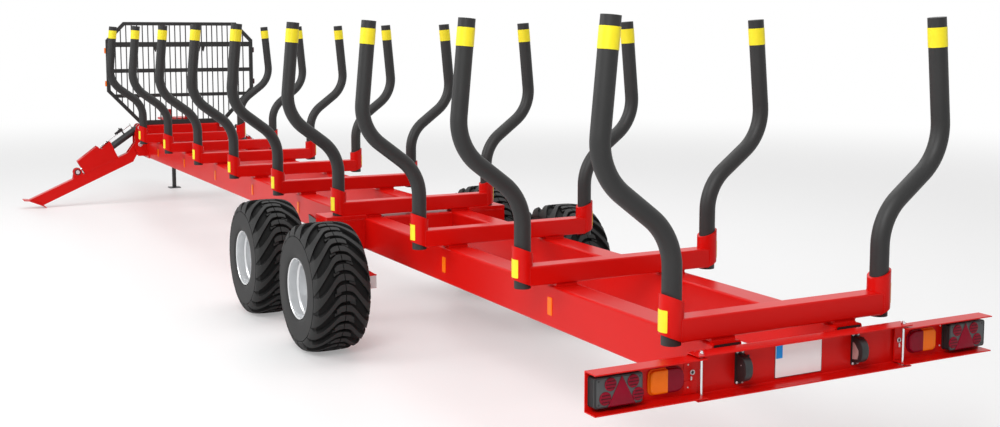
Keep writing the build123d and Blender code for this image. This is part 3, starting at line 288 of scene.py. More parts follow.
def addRings(work, rings, closed=False):
    # Joins a row of equal rings of points into one skin
    rows = [[work.verts.new(point) for point in ring] for ring in rings]
    for i in range(len(rows) if closed else len(rows) - 1):
        here, there = rows[i], rows[(i + 1) % len(rows)]
        for j in range(len(here)):
            k = (j + 1) % len(here)
            work.faces.new((here[j], here[k], there[k], there[j]))
    if not closed:
        work.faces.new(list(reversed(rows[0])))
        work.faces.new(rows[-1])


def roundShape(radius, points):
    turns = [2 * math.pi * i / points for i in range(points)]
    return [(radius * math.cos(turn), radius * math.sin(turn)) for turn in turns]


def roundedShape(width, height, corner, points=5):
    # A rectangle about the middle with round corners
    shape = []
    for cx, cy, start in ((1, 1, 0), (-1, 1, 90), (-1, -1, 180), (1, -1, 270)):
        for i in range(points + 1):
            turn = math.radians(start + 90 * i / points)
            shape.append((
                cx * (width / 2 - corner) + corner * math.cos(turn),
                cy * (height / 2 - corner) + corner * math.sin(turn),
            ))
    return shape


def addLayers(work, spot, shape, layers):
    # Stacks one outline along the spot's Z: each layer is (height, inset towards the middle)
    middle = Vector((sum(p[0] for p in shape) / len(shape), sum(p[1] for p in shape) / len(shape)))
    widest = max((Vector(p) - middle).length for p in shape)
    rings = []
    for height, inset in layers:
        share = 1 - inset / widest
        rings.append([spot @ Vector((*(middle + (Vector(p) - middle) * share), height)) for p in shape])
    addRings(work, rings)


def addEvenLayers(work, spot, shape, layers):
    # Layers whose inset is the same on all four sides of a rounded rectangle
    width = max(x for x, _ in shape)
    height = max(y for _, y in shape)
    addRings(work, [
        [spot @ Vector((x * (1 - inset / width), y * (1 - inset / height), level)) for x, y in shape]
        for level, inset in layers
    ])


def addPlate(work, spot, width, height, corner, low, high, soft, points=5):
    # A rounded rectangle between two heights, with softened edges. Dictionaries give plates in this order.
    shape = roundedShape(width, height, corner, points)
    addLayers(work, spot, shape, [(low, soft), (low + soft, 0), (high - soft, 0), (high, soft)])


def addRound(work, spot, radius, points, layers):
    addLayers(work, spot, roundShape(radius, points), layers)


def addTurned(work, spot, profile, segments):
    # Turns a closed profile of (along the axis, radius) points about the spot's Z
    turns = [2 * math.pi * step / segments for step in range(segments)]
    addRings(work, [
        [spot @ Vector((r * math.cos(turn), r * math.sin(turn), a)) for a, r in profile] for turn in turns
    ], closed=True)


def addCap(work, spot, radius, height, segments, edge=0.002, base=0.0):
    # A round cap whose rim is cut back by 3 mm over the edge's height
    addTurned(work, spot, [
        (base, 0.0), (base, radius), (height - edge, radius), (height, radius - 0.003), (height, 0.0),
    ], segments)


# A bolt's parts as shares of the width across its flats, and heights over the washer as shares of its head
boltAcross = {"washer": 0.98, "rest": 0.16, "soft": 0.05, "corner": 0.577, "chamfer": 0.12, "stud": 0.3}
boltHead = {"flats": 0.8, "studFoot": 0.9, "studTop": 1.3}


def addBolt(work, spot, across, head):
    # A hexagon head with a chamfered top and a stud's end, on a thin washer
    size = {name: across * share for name, share in boltAcross.items()}
    rest, soft = size["rest"], size["soft"]
    flats, studFoot, studTop = [rest + head * share for share in boltHead.values()]
    addRound(work, spot, size["washer"], 20, [(0, soft), (soft, 0), (rest - soft, 0), (rest, soft)])
    addRound(work, spot, size["corner"], 6, [(rest, 0), (flats, 0), (rest + head, size["chamfer"])])
    addRound(work, spot, size["stud"], 12, [(studFoot, 0), (studTop, 0)])


def addTube(work, path, radii, corners, closed=False):
    # A skin round a path, whose radius takes each of the radii in turn
    last = len(path) - 1
    side = (path[1] - path[0]).orthogonal().normalized()
    rings = []
    for i, place in enumerate(path):
        if closed:
            ahead = (path[(i + 1) % len(path)] - path[i - 1]).normalized()
        else:
            ahead = (path[min(i + 1, last)] - path[max(i - 1, 0)]).normalized()
        side = (side - ahead * side.dot(ahead)).normalized()
        other = ahead.cross(side)
        rings.append([place + side * x + other * y for x, y in roundShape(radii[i % len(radii)], corners)])
    addRings(work, rings, closed)


def addPipe(work, points, radius, bend, corners=12, steps=6):
    # A round pipe along straight runs with round bends between them
    points = [Vector(p) for p in points]
    path = [points[0]]
    for before, here, after in zip(points, points[1:], points[2:]):
        start = here + (before - here).normalized() * bend
        end = here + (after - here).normalized() * bend
        for t in [i / steps for i in range(steps + 1)]:
            path.append(start * (1 - t) ** 2 + here * 2 * t * (1 - t) + end * t ** 2)
    addTube(work, path + [points[-1]], [radius], corners)


def addBead(work, points, radius, closed=False, ripple=0.0035):
    # A weld bead: a low tube whose thickness swells a little with each ripple
    places = [Vector(p) for p in points]
    path = []
    for here, there in zip(places, places[1:] + places[:1] if closed else places[1:]):
        steps = max(1, round((there - here).length / ripple))
        path += [here.lerp(there, k / steps) for k in range(steps)]
    if not closed:
        path.append(places[-1])
    addTube(work, path, [radius, radius * 1.16], 6, closed)


# Tyres: a carcass with twenty curved lugs on each side, staggered by half a pitch. Across the middle each
# lug goes on as a short block and a lower tier.
tyre = {
    "bogieAhead": 4.730, "axleAhead": 0.728, "y": 1.0595, "radius": 0.494, "lugs": 20, "segments": 120,
    "edge": 0.003, "footOut": 0.003, "footDeep": 0.004,
    "treadHalf": 0.196, "treadInner": 0.39, "floorRadius": 0.4635, "wallLean": 0.6,
    "grooveHalf": 0.2205, "grooveInner": 0.3968, "grooveOuter": 0.4075,
}
wheels = [
    (f"{row}_{word}", row.title() + title, side,
     (along(tyre["bogieAhead"] + way * tyre["axleAhead"]), side * tyre["y"], tyre["radius"]))
    for way, row in ((-1, "rear"), (1, "front"))
    for side, word, title in sides
]
# Stations: y and radius of the lug's upper edge, y and radius of its foot, shift round the tyre, half width
lugStations = [
    (0.003, 0.4940, 0.003, 0.461, 0.000, 0.0245),
    (0.028, 0.4938, 0.028, 0.461, 0.003, 0.0250),
    (0.048, 0.4936, 0.048, 0.461, 0.011, 0.0255),
    (0.066, 0.4932, 0.066, 0.461, 0.027, 0.0260),
    (0.086, 0.4925, 0.086, 0.465, 0.050, 0.0265),
    (0.108, 0.4910, 0.108, 0.464, 0.079, 0.0270),
    (0.132, 0.4885, 0.132, 0.462, 0.110, 0.0280),
    (0.155, 0.4850, 0.154, 0.458, 0.139, 0.0300),
    (0.176, 0.4780, 0.173, 0.452, 0.165, 0.0340),
    (0.194, 0.4660, 0.190, 0.442, 0.186, 0.0420),
    (0.207, 0.4500, 0.203, 0.430, 0.200, 0.0520),
    (0.2155, 0.4320, 0.2125, 0.417, 0.210, 0.0630),
    (0.2220, 0.4120, 0.2205, 0.409, 0.218, 0.0720),
]
blockStations = [
    (0.003, 0.4940, 0.003, 0.461, 0.000, 0.0240),
    (0.028, 0.4938, 0.028, 0.461, 0.003, 0.0240),
    (0.050, 0.4934, 0.050, 0.461, 0.010, 0.0225),
    (0.070, 0.4925, 0.072, 0.461, 0.024, 0.0190),
]
tierStations = [
    (0.034, 0.4810, 0.034, 0.461, 0.034, 0.0120),
    (0.056, 0.4805, 0.056, 0.461, 0.042, 0.0130),
    (0.080, 0.4790, 0.084, 0.461, 0.056, 0.0120),
]
carcassHalf = [
    (0.0, 0.462), (0.050, 0.462), (0.100, 0.460), (0.140, 0.456), (0.170, 0.448), (0.192, 0.436),
    (0.206, 0.423), (0.2165, 0.412), (0.2215, 0.4080), (0.2155, 0.4060), (0.2155, 0.3985), (0.2222, 0.3965),
    (0.2225, 0.3700), (0.2225, 0.3300), (0.2218, 0.2900), (0.2200, 0.2640), (0.2160, 0.2480),
    (0.2100, 0.2390), (0.2040, 0.2330),
]


def addLug(work, stations, side, start):
    soft, wider, deeper = tyre["edge"], tyre["footOut"], tyre["footDeep"]
    rings = []
    for out, topR, footOut, footR, shift, half in stations:
        section = [
            (footOut, -half - wider, footR - deeper), (out, -half, topR - soft), (out, -half + soft, topR),
            (out, half - soft, topR), (out, half, topR - soft), (footOut, half + wider, footR - deeper),
        ]
        ring = []
        for y, v, r in section:
            turn = start - (shift + v) / tyre["radius"]
            ring.append((-r * math.cos(turn), side * y, r * math.sin(turn)))
        rings.append(ring)
    addRings(work, rings)


def makeTyreMesh():
    work = bmesh.new()
    profile = carcassHalf + [(-a, r) for a, r in reversed(carcassHalf[1:])]
    addTurned(work, facing((0, 0, 0), (0, 1, 0)), profile, tyre["segments"])
    pitch = 2 * math.pi / tyre["lugs"]
    for number in range(tyre["lugs"]):
        for side in (1, -1):
            start = (number + (0 if side > 0 else 0.5)) * pitch
            addLug(work, lugStations, side, start)
            addLug(work, blockStations, -side, start)
            addLug(work, tierStations, -side, start)
    work.normal_update()
    for face in work.faces:
        # Painted shade: the floor between the lugs, their walls and the sidewall's ring groove take a darker
        # rubber for their shade
        middle = face.calc_center_median()
        reach = middle.xz.length
        outward = Vector((middle.x, 0, middle.z)).normalized()
        tread = abs(middle.y) < tyre["treadHalf"]
        floor = tread and reach < tyre["floorRadius"]
        wall = tread and abs(face.normal.dot(outward)) < tyre["wallLean"]
        groove = tyre["grooveInner"] < reach < tyre["grooveOuter"] and abs(middle.y) < tyre["grooveHalf"]
        if reach > tyre["treadInner"] and (floor or wall or groove):
            face.material_index = 1
    return newMesh("tyreMesh", work)


tyreMesh = makeTyreMesh()
# The second material is painted shade for the faces in the tread's recesses
tyreMesh.materials.append(materials["tyre"])
tyreMesh.materials.append(materials["tyreRecessShade"])
for place, name, side, centre in wheels:
    piece = newPiece("tyre" + name, tyreMesh, f"wheel_{place}", "tyre", Matrix.Translation(centre))
    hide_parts(f"tyre_{place}")
print("tyres made")

# Sleeves: a yellow sticker on each one's rear outer quarter, and the weld round the bolster's end
sleeve = {
    "axisY": 0.682, "radius": 0.0634, "stickerLow": 0.971, "stickerHigh": 1.082, "stickerHalf": 38,
    "stickerTurns": range(-30, 31, 6), "stickerEdge": ((0.0, 0.0045), (0.9, 0.0018), (3.0, 0.0)),
    "stickerSunk": 0.0006, "stickerRise": 0.0020, "bolster": 0.1205, "bolsterCorner": 0.012,
    "bolsterZ": 0.978, "bead": 0.0028,
}
half, edge = sleeve["stickerHalf"], sleeve["stickerEdge"]
turns = [(turn - half, inset) for turn, inset in edge] + [(turn, 0.0) for turn in sleeve["stickerTurns"]]
turns += [(half - turn, inset) for turn, inset in reversed(edge)]
inner, outer = sleeve["radius"] - sleeve["stickerSunk"], sleeve["radius"] + sleeve["stickerRise"]
stickers = bmesh.new()
sleeveWelds = bmesh.new()
for side, bunkX in bunkPlaces:
    rings = []
    for degrees, inset in turns:
        turn = math.radians(degrees)
        low, high = sleeve["stickerLow"] + inset, sleeve["stickerHigh"] - inset
        rings.append([
            (bunkX - r * math.sin(turn), side * (sleeve["axisY"] + r * math.cos(turn)), z)
            for r, z in ((inner, low), (outer, low), (outer, high), (inner, high))
        ])
    addRings(stickers, rings)
    addBead(sleeveWelds, [
        (bunkX + x, side * (sleeve["axisY"] - math.sqrt(sleeve["radius"] ** 2 - x * x)), sleeve["bolsterZ"] + z)
        for x, z in roundedShape(sleeve["bolster"], sleeve["bolster"], sleeve["bolsterCorner"], 3)
    ], sleeve["bead"], closed=True, ripple=longRipple)
newPiece("sleeveStickers", stickers, "frame", "yellow_band")
newPiece("sleeveWelds", sleeveWelds, "frame", "red_paint")

# Bunk seats: weld beads along each seat's two edges on the beams, as (height, radius)
seat = {"edgeX": 0.049, "inner": 0.325, "outer": 0.475, "beads": ((0.9012, 0.0032), (0.9172, 0.0022))}
work = bmesh.new()
for side, bunkX in bunkPlaces:
    for way in (1, -1):
        for z, radius in seat["beads"]:
            ends = [(bunkX + way * seat["edgeX"], side * y, z) for y in (seat["inner"], seat["outer"])]
            addBead(work, ends, radius, ripple=longRipple)
newPiece("seatWelds", work, "frame", "red_paint")

# Bogie cross box: a cap on each stub, and weld beads as (y, z) at both ends and a radius
stub = {
    "rear": 4.590, "front": 4.870, "inner": 0.470, "outer": 0.818, "low": 0.893, "high": 0.926,
    "corner": 0.004, "soft": 0.003,
    "beads": (((beamBead, 0.66), (beamBead, 0.90), 0.004), ((0.50, 0.893), (0.81, 0.893), 0.0022)),
}
stubWork = bmesh.new()
stubBeads = bmesh.new()
for side, _, _ in sides:
    middle = (along((stub["rear"] + stub["front"]) / 2), side * (stub["inner"] + stub["outer"]) / 2, 0)
    addPlate(stubWork, Matrix.Translation(middle), stub["front"] - stub["rear"], stub["outer"] - stub["inner"],
             stub["corner"], stub["low"], stub["high"], stub["soft"], 2)
    for ahead in (stub["rear"], stub["front"]):
        for start, end, radius in stub["beads"]:
            addBead(stubBeads, [(along(ahead), side * y, z) for y, z in (start, end)], radius)
newPiece("stubCaps", stubWork, "frame", "red_paint")
newPiece("stubWelds", stubBeads, "frame", "red_paint")

# Side reflectors along both beams: a base and a lens with a raised field
reflector = {
    "aheads": (1.52, 3.04, 6.32, 7.84, 9.36, 10.88, 12.40), "z": 0.771,
    "base": (0.052, 0.112, 0.007, 0, 0.0045, 0.001), "field": (0.040, 0.100, 0.004, 0.004, 0.0058, 0.0006),
}
work = bmesh.new()
for side, _, _ in sides:
    for ahead in reflector["aheads"]:
        spot = sideSpot(side, along(ahead), beamSide, reflector["z"])
        addPlate(work, spot, *reflector["base"])
        addPlate(work, spot, *reflector["field"])
newPiece("sideReflectors", work, "frame", "amber_lens")

# Pointed bracket on each beam's outer face beside the front wheels, with a red block behind it
lineBracket = {
    "corners": ((5.985, 0.752), (5.705, 0.722), (5.705, 0.650), (5.955, 0.650)), "out": 0.014,
    "blockAhead": 5.6725, "blockZ": 0.686, "block": (0.065, 0.072, 0.005, 0, 0.019, 0.0015),
}
lineBrackets = bmesh.new()
lineBlocks = bmesh.new()
for side, _, _ in sides:
    addRings(lineBrackets, [
        [(along(ahead), side * (beamSide + out), z) for ahead, z in lineBracket["corners"]]
        for out in (0, lineBracket["out"])
    ])
    spot = sideSpot(side, along(lineBracket["blockAhead"]), beamSide, lineBracket["blockZ"])
    addPlate(lineBlocks, spot, *lineBracket["block"])
newPiece("lineBrackets", lineBrackets, "frame", "black_paint")
newPiece("lineBlocks", lineBlocks, "frame", "red_paint")
print("beams and sleeves dressed")

# Light bar: lamp boxes, lenses and strip lamps on the two folding wings. Layers are (height, inset), and
# round things are (radius, points, layers).
barFace = along(-0.149)
wingFace = along(-0.163)
lampFront = wingFace - 0.0545
lampBox = {
    "y": 1.126, "z": 0.788, "box": (0.270, 0.148, 0.014, 6),
    "boxLayers": (
        (0, 0.0), (0.005, 0.0), (0.0065, 0.004), (0.012, 0.004), (0.0135, 0.0015), (0.0180, 0.0015),
        (0.0195, 0.0045), (0.0225, 0.0045), (0.0240, 0.0015), (0.0285, 0.0015), (0.0300, 0.0045),
        (0.0330, 0.0045), (0.0345, 0.0015), (0.0390, 0.0015), (0.0405, 0.0045), (0.0435, 0.0045),
        (0.0450, 0.0015), (0.0515, 0.0015), (0.0530, 0.0030),
    ),
    "panelY": 1.1225, "panel": (0.249, 0.132, 0.010),
    "panelLayers": ((0.050, 0), (0.0540, 0), (0.0550, 0.001)),
    "screwOut": 0.113, "screwUp": 0.055, "screw": (0.0052, 16, ((0, 0), (0.0012, 0), (0.0020, 0.001))),
    "lensAt": ((0.062, 0.036), (0.090, -0.028), (-0.062, 0.036), (-0.090, -0.028)),
    "lens": (0.0315, 36, ((0, 0), (0.0035, 0), (0.0052, 0.0015), (0.0058, 0.004))),
    "grooveAt": (-0.0165, -0.0005, 0.0155), "grooveRim": 0.0030, "grooveHalf": 0.002,
    "groove": (0.0046, 0.0020, 0.0030, 0.0068, 0.0010, 3),
    "triangleY": 1.110, "triangleLayers": ((0, 0), (0.0030, 0), (0.0066, 0.010), (0.0070, 0.0115)),
    "triangle": ((0.076, -0.070), (0.074, -0.066), (0.002, 0.067), (-0.002, 0.067), (-0.074, -0.066),
                 (-0.076, -0.070)),
}
stripLamp = {
    "y": 0.830, "z": 0.784, "width": 0.202, "height": 0.125, "redCorner": 0.046, "amberCorner": 0.027,
    "gap": 0.0002,
    "layers": ((0, 0), (0.005, 0), (0.0065, 0.0012), (0.007, 0.005), (0.019, 0.0055), (0.0222, 0.0075),
               (0.0236, 0.011), (0.0240, 0.017)),
}
wing = {
    "screwAt": {
        "left": ((1.256, 0.841), (1.256, 0.728), (0.698, 0.843), (0.698, 0.731)),
        "right": ((-0.9775, 0.847), (-0.9775, 0.737), (-1.267, 0.841), (-1.267, 0.728)),
    },
    "screw": (0.0052, 14, ((0, 0), (0.0022, 0.0003), (0.0036, 0.0018), (0.0040, 0.0035))),
    "ringOut": 0.004, "ringY": 0.673, "ringZ": 0.803, "ringRadius": 0.0108, "ringThick": 0.0032,
    "tabY": 0.679, "tabZ": 0.773, "tab": (0.009, 0.020, 0.0035, 0, 0.004, 0.001),
    "hole": (0.0078, 20, ((-0.004, 0), (0.0010, 0), (0.0022, 0.002))),
    "slotY": 0.677, "slotZ": 0.7545, "slot": (0.026, 0.006, 0.0028, 0, 0.0012, 0.0005),
    "plateY": 0.684, "plates": ((0.846, 0.060), (0.731, 0.066)), "plateWidth": 0.080,
    "plate": (0.010, 0, 0.003, 0.001),
}


def addStripHalf(work, side, way):
    # The outer, amber half of a strip lamp (way 1) or the inner, red one (way -1), cut from the whole lamp
    spot = rearSpot(wingFace, side * stripLamp["y"], stripLamp["z"])
    shape = [
        point for corner, part in ((stripLamp["redCorner"], side), (stripLamp["amberCorner"], -side))
        for point in roundedShape(stripLamp["width"], stripLamp["height"], corner, 10) if point[0] * part > 0
    ]
    shape.sort(key=lambda point: math.atan2(point[1], point[0]))
    addEvenLayers(work, spot, shape, stripLamp["layers"])
    geometry = list(work.verts) + list(work.edges) + list(work.faces)
    cut = (0, side * (stripLamp["y"] + way * stripLamp["gap"]), 0)
    bmesh.ops.bisect_plane(work, geom=geometry, plane_co=cut, plane_no=(0, -way * side, 0), clear_outer=True)
    bmesh.ops.contextual_create(work, geom=[edge for edge in work.edges if edge.is_boundary])


for side, word, title in sides:
    body = f"light_{word}"
    work = bmesh.new()
    spot = rearSpot(wingFace, side * lampBox["y"], lampBox["z"])
    addEvenLayers(work, spot, roundedShape(*lampBox["box"]), lampBox["boxLayers"])
    for u, v in fourWays:
        y, z = side * lampBox["panelY"] + u * lampBox["screwOut"], lampBox["z"] + v * lampBox["screwUp"]
        addRound(work, rearSpot(lampFront, y, z), *lampBox["screw"])
    piece = newPiece(f"lampBox{title}", work, body, "black_plastic")
    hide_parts(f"lamp_box_{word}")

    work = bmesh.new()
    spot = rearSpot(wingFace, side * lampBox["panelY"], lampBox["z"])
    addEvenLayers(work, spot, roundedShape(*lampBox["panel"]), lampBox["panelLayers"])
    newPiece(f"lampPanel{title}", work, body, "black_plastic", finish="lampGrey")

    work = bmesh.new()
    addStripHalf(work, side, 1)
    piece = newPiece(f"amberLens{title}", work, body, "amber_lens", crease=40.0)
    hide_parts(f"amber_lens_{word}")

    # Red lenses: the strip's red half, four round ones with dark bars of painted shade for their grooves, and
    # the triangle
    lenses = bmesh.new()
    grooveShade = bmesh.new()
    addStripHalf(lenses, side, -1)
    for outward, above in lampBox["lensAt"]:
        spot = rearSpot(lampFront, side * (lampBox["triangleY"] + outward), lampBox["z"] + above)
        addRound(lenses, spot, *lampBox["lens"])
        for v in lampBox["grooveAt"]:
            radius, up = lampBox["lens"][0] - lampBox["grooveRim"], abs(v) + lampBox["grooveHalf"]
            length = 2 * math.sqrt(radius ** 2 - up ** 2)
            addPlate(grooveShade, spot @ Matrix.Translation((0, v, 0)), length, *lampBox["groove"])
    spot = rearSpot(lampFront, side * lampBox["triangleY"], lampBox["z"])
    addLayers(lenses, spot, lampBox["triangle"], lampBox["triangleLayers"])
    piece = newPiece(f"redLenses{title}", lenses, body, "red_lens", crease=40.0)
    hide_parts(f"red_lenses_{word}")
    # The groove bars take the darker red as painted shade
    newPiece(f"lensGrooveShade{title}", grooveShade, body, "black_plastic", finish="shadedRedLens")

    # Round-headed screws, the ring of the spring pin with its tab, painted shade in its hole and in a slot
    # below it, and the lock plates
    work = bmesh.new()
    for y, z in wing["screwAt"][word]:
        addRound(work, rearSpot(wingFace, y, z), *wing["screw"])
    spot = rearSpot(wingFace - wing["ringOut"], side * wing["ringY"], wing["ringZ"])
    addTurned(work, spot, [(y, wing["ringRadius"] + x) for x, y in roundShape(wing["ringThick"], 10)], 32)
    addPlate(work, rearSpot(wingFace, side * wing["tabY"], wing["tabZ"]), *wing["tab"])
    newPiece(f"wingScrews{title}", work, body, "silver_paint", finish="zinc")
    # A black disc and strip paint the shade in the pin's hole and in the slot below it
    work = bmesh.new()
    addRound(work, spot, *wing["hole"])
    addPlate(work, rearSpot(wingFace, side * wing["slotY"], wing["slotZ"]), *wing["slot"])
    newPiece(f"wingHoleShade{title}", work, body, "black_plastic")
    work = bmesh.new()
    for z, height in wing["plates"]:
        spot = rearSpot(wingFace, side * wing["plateY"], z)
        addPlate(work, spot, wing["plateWidth"], height, *wing["plate"])
    newPiece(f"lockPlates{title}", work, body, "red_paint")

# The bar itself: a bent channel, open to the rear, on two pairs of brackets. Over it show the beams' open
# mouths, each a rim round a black plate that paints the shade inside the hollow beam, and the brackets lie
# low enough to leave these in view.
bar = {
    "half": 0.692, "low": 0.676, "high": 0.900, "wall": 0.006, "depth": 0.092, "bend": 0.007,
    "innerBend": 0.0042, "bracketX": along(-0.1105), "bracket": (0.066, 0.160, 0.004),
    "bracketZs": ((0.838, 0.866), (0.686, 0.698)), "bracketSoft": 0.001,
    "mouthX": along(-0.078), "beamY": 0.400, "beamZ": 0.770, "rimOuter": (0.180, 0.260, 0.016),
    "rimInner": (0.164, 0.244, 0.009), "rimFaces": (-0.001, 0.0022),
    "mouth": (0.166, 0.246, 0.009, -0.001, 0.0006, 0.0003),
}
low, high, back = bar["low"] + bar["wall"], bar["high"] - bar["wall"], barFace - bar["depth"]
bend, inner = bar["bend"], bar["innerBend"]
section = [(back, bar["low"]), (back, low), (barFace - inner, low), (barFace, low + inner),
           (barFace, high - inner), (barFace - inner, high), (back, high), (back, bar["high"])]
for z, turns in ((bar["high"] - bend, (90, 60, 30, 0)), (bar["low"] + bend, (0, -30, -60, -90))):
    for turn in [math.radians(degrees) for degrees in turns]:
        section.append((barFace + bar["wall"] - bend + bend * math.cos(turn), z + bend * math.sin(turn)))
barWork = bmesh.new()
addRings(barWork, [[(x, y, z) for x, z in section] for y in (-bar["half"], bar["half"])])
mouthShade = bmesh.new()
for side, _, _ in sides:
    spot = Matrix.Translation((bar["bracketX"], side * bar["beamY"], 0))
    for low, high in bar["bracketZs"]:
        addPlate(barWork, spot, *bar["bracket"], low, high, bar["bracketSoft"], 2)
    spot = rearSpot(bar["mouthX"], side * bar["beamY"], bar["beamZ"])
    low, high = bar["rimFaces"]
    addRings(barWork, [
        [spot @ Vector(p) for p in ((a, b, low), (a, b, high), (c, d, high), (c, d, low))]
        for (a, b), (c, d) in zip(roundedShape(*bar["rimOuter"]), roundedShape(*bar["rimInner"]))
    ], closed=True)
    # A black plate in each mouth paints the shade inside the hollow beam
    addPlate(mouthShade, spot, *bar["mouth"])
piece = newPiece("lightBar", barWork, "frame", "red_paint")
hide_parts("light_bar")
newPiece("beamMouthShade", mouthShade, "frame", "black_paint")

# Number plate: a dark holder, and a blank plate with a raised rim and a blue strip at its upper left
numberPlate = {
    "z": 0.788, "holder": (0.307, 0.182, 0.006, 0, 0.0016, 0.0006), "face": 0.0030,
    "plate": (0.300, 0.175, 0.005, 0.0005, 0.0030, 0.0008), "rim": (0.296, 0.171, 0.004),
    "rimBead": 0.0009, "rimStep": 0.03, "stripAt": (-0.1275, 0.0485, 0),
    "strip": (0.043, 0.076, 0.002, 0.0026, 0.0034, 0.0002),
}
work = bmesh.new()
spot = rearSpot(barFace, 0, numberPlate["z"])
addPlate(work, spot, *numberPlate["holder"])
newPiece("plateHolder", work, "frame", "black_plastic")
work = bmesh.new()
addPlate(work, spot, *numberPlate["plate"])
rim = [spot @ Vector((x, y, numberPlate["face"])) for x, y in roundedShape(*numberPlate["rim"])]
addBead(work, rim, numberPlate["rimBead"], closed=True, ripple=numberPlate["rimStep"])
piece = newPiece("numberPlate", work, "frame", "plate")
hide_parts("number_plate")
work = bmesh.new()
addPlate(work, spot @ Matrix.Translation(numberPlate["stripAt"]), *numberPlate["strip"])
newPiece("plateStrip", work, "frame", "plate", finish="blueStrip")

# Plate lamps: a D-shaped housing on a flange, with its window on the side that faces the plate. The body's
# layers are (y from the middle towards the plate, share of the outline's size).
plateLamp = {
    "y": 0.378, "z": 0.788, "foot": 0.004, "depth": 0.083, "tall": 0.069, "steps": 18,
    "depthPower": 0.75, "tallPower": 0.85,
    "body": ((-0.0230, 0.93), (-0.0215, 0.98), (-0.018, 1.0), (0.018, 1.0), (0.0215, 0.98), (0.0230, 0.94)),
    "window": ((0.010, -0.050), (0.046, -0.044), (0.053, -0.018), (0.052, 0.002), (0.022, 0.038),
               (0.010, 0.040)),
    "windowYs": (0.020, 0.0240), "flange": (0.056, 0.170, 0.010, 0, 0.006, 0.0015),
    "boltOut": 0.0165, "boltUp": 0.0765, "boltFace": 0.006, "bolt": (0.0072, 0.0035),
    "capRear": 0.045, "capY": 0.4008, "capZ": 0.808,
    "cap": (0.0035, 12, ((0, 0), (0.0012, 0.0002), (0.0016, 0.0012))),
    "grommetLeft": -0.055, "grommetZ": 0.836,
    "grommet": (0.0075, 16, ((0, 0), (0.004, 0.0004), (0.007, 0.003), (0.0075, 0.005))),
}


def lampOutline(share):
    # Half of a flattened circle: (distance to the rear of the web, height over the lamp's middle)
    shape = []
    for i in range(plateLamp["steps"] + 1):
        turn = math.radians(-90 + 180 * i / plateLamp["steps"])
        out = plateLamp["depth"] * max(math.cos(turn), 0.0) ** plateLamp["depthPower"] - plateLamp["foot"]
        up = plateLamp["tall"] * math.copysign(abs(math.sin(turn)) ** plateLamp["tallPower"], turn)
        shape.append((plateLamp["foot"] + max(out, 0.0) * share, up * share))
    return shape


housings = bmesh.new()
windows = bmesh.new()
lampScrews = bmesh.new()
for side, _, _ in sides:
    layers = [(inward, lampOutline(share)) for inward, share in plateLamp["body"]]
    panes = [(inward, plateLamp["window"]) for inward in plateLamp["windowYs"]]
    for work, outlines in ((housings, layers), (windows, panes)):
        addRings(work, [
            [(barFace - out, side * (plateLamp["y"] - inward), plateLamp["z"] + up) for out, up in outline]
            for inward, outline in outlines
        ])
    spot = rearSpot(barFace, side * plateLamp["y"], plateLamp["z"])
    addPlate(housings, spot, *plateLamp["flange"])
    for u, v in fourWays:
        place = (u * plateLamp["boltOut"], v * plateLamp["boltUp"], plateLamp["boltFace"])
        addBolt(lampScrews, spot @ Matrix.Translation(place), *plateLamp["bolt"])
    spot = sideSpot(side, barFace - plateLamp["capRear"], plateLamp["capY"], plateLamp["capZ"])
    addRound(lampScrews, spot, *plateLamp["cap"])
    spot = rearSpot(barFace, side * plateLamp["y"] + plateLamp["grommetLeft"], plateLamp["grommetZ"])
    addRound(housings, spot, *plateLamp["grommet"])
piece = newPiece("plateLamps", housings, "frame", "black_plastic")
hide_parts("plate_lamps")
newPiece("plateLampWindows", windows, "frame", "black_plastic", finish="lampWindow")
newPiece("plateLampScrews", lampScrews, "frame", "silver_paint", finish="zinc")
print("light bar made")

# Wheels: nuts and studs round the disc, a ring of small bolts round the hub cap, and a valve
wheel = {
    "discY": -0.0075, "nuts": 8, "nutCircle": 0.1375, "nut": (0.030, 0.017),
    "stud": (0.0105, 14, ((0, 0), (0.026, 0), (0.028, 0.002))),
    "capBolts": 6, "capCircle": 0.052, "capHeight": 0.0475, "capBolt": (0.010, 0.005),
    "ring": (((0.0, 0.058), (0.006, 0.066), (0.012, 0.066), (0.014, 0.058)), 48), "valveOut": 0.188,
    "valve": (((-0.002, 0.0), (-0.002, 0.009), (0.006, 0.009), (0.009, 0.005), (0.030, 0.0045),
               (0.030, 0.006), (0.040, 0.006), (0.042, 0.004), (0.042, 0.0)), 14),
}
work = bmesh.new()
discFace = facing((0, wheel["discY"], 0), (0, 1, 0))
for spot in ringSpots(discFace, wheel["nuts"], wheel["nutCircle"]):
    addBolt(work, spot, *wheel["nut"])
    addRound(work, spot, *wheel["stud"])
for spot in ringSpots(discFace, wheel["capBolts"], wheel["capCircle"], wheel["capHeight"], 0):
    addBolt(work, spot, *wheel["capBolt"])
addTurned(work, discFace, *wheel["ring"])
nutMesh = newMesh("wheelNutMesh", work)
nutMesh.materials.append(materials["zinc"])
work = bmesh.new()
addTurned(work, discFace @ Matrix.Translation((wheel["valveOut"], 0, 0)), *wheel["valve"])
valveMesh = newMesh("valveMesh", work)
for place, name, side, centre in wheels:
    spot = Matrix.Translation(centre) @ (Matrix() if side > 0 else Matrix.Rotation(math.pi, 4, "Z"))
    newPiece("wheelNuts" + name, nutMesh, f"wheel_{place}", "silver_paint", spot)
    newPiece("valve" + name, valveMesh, f"wheel_{place}", "black_plastic", spot)

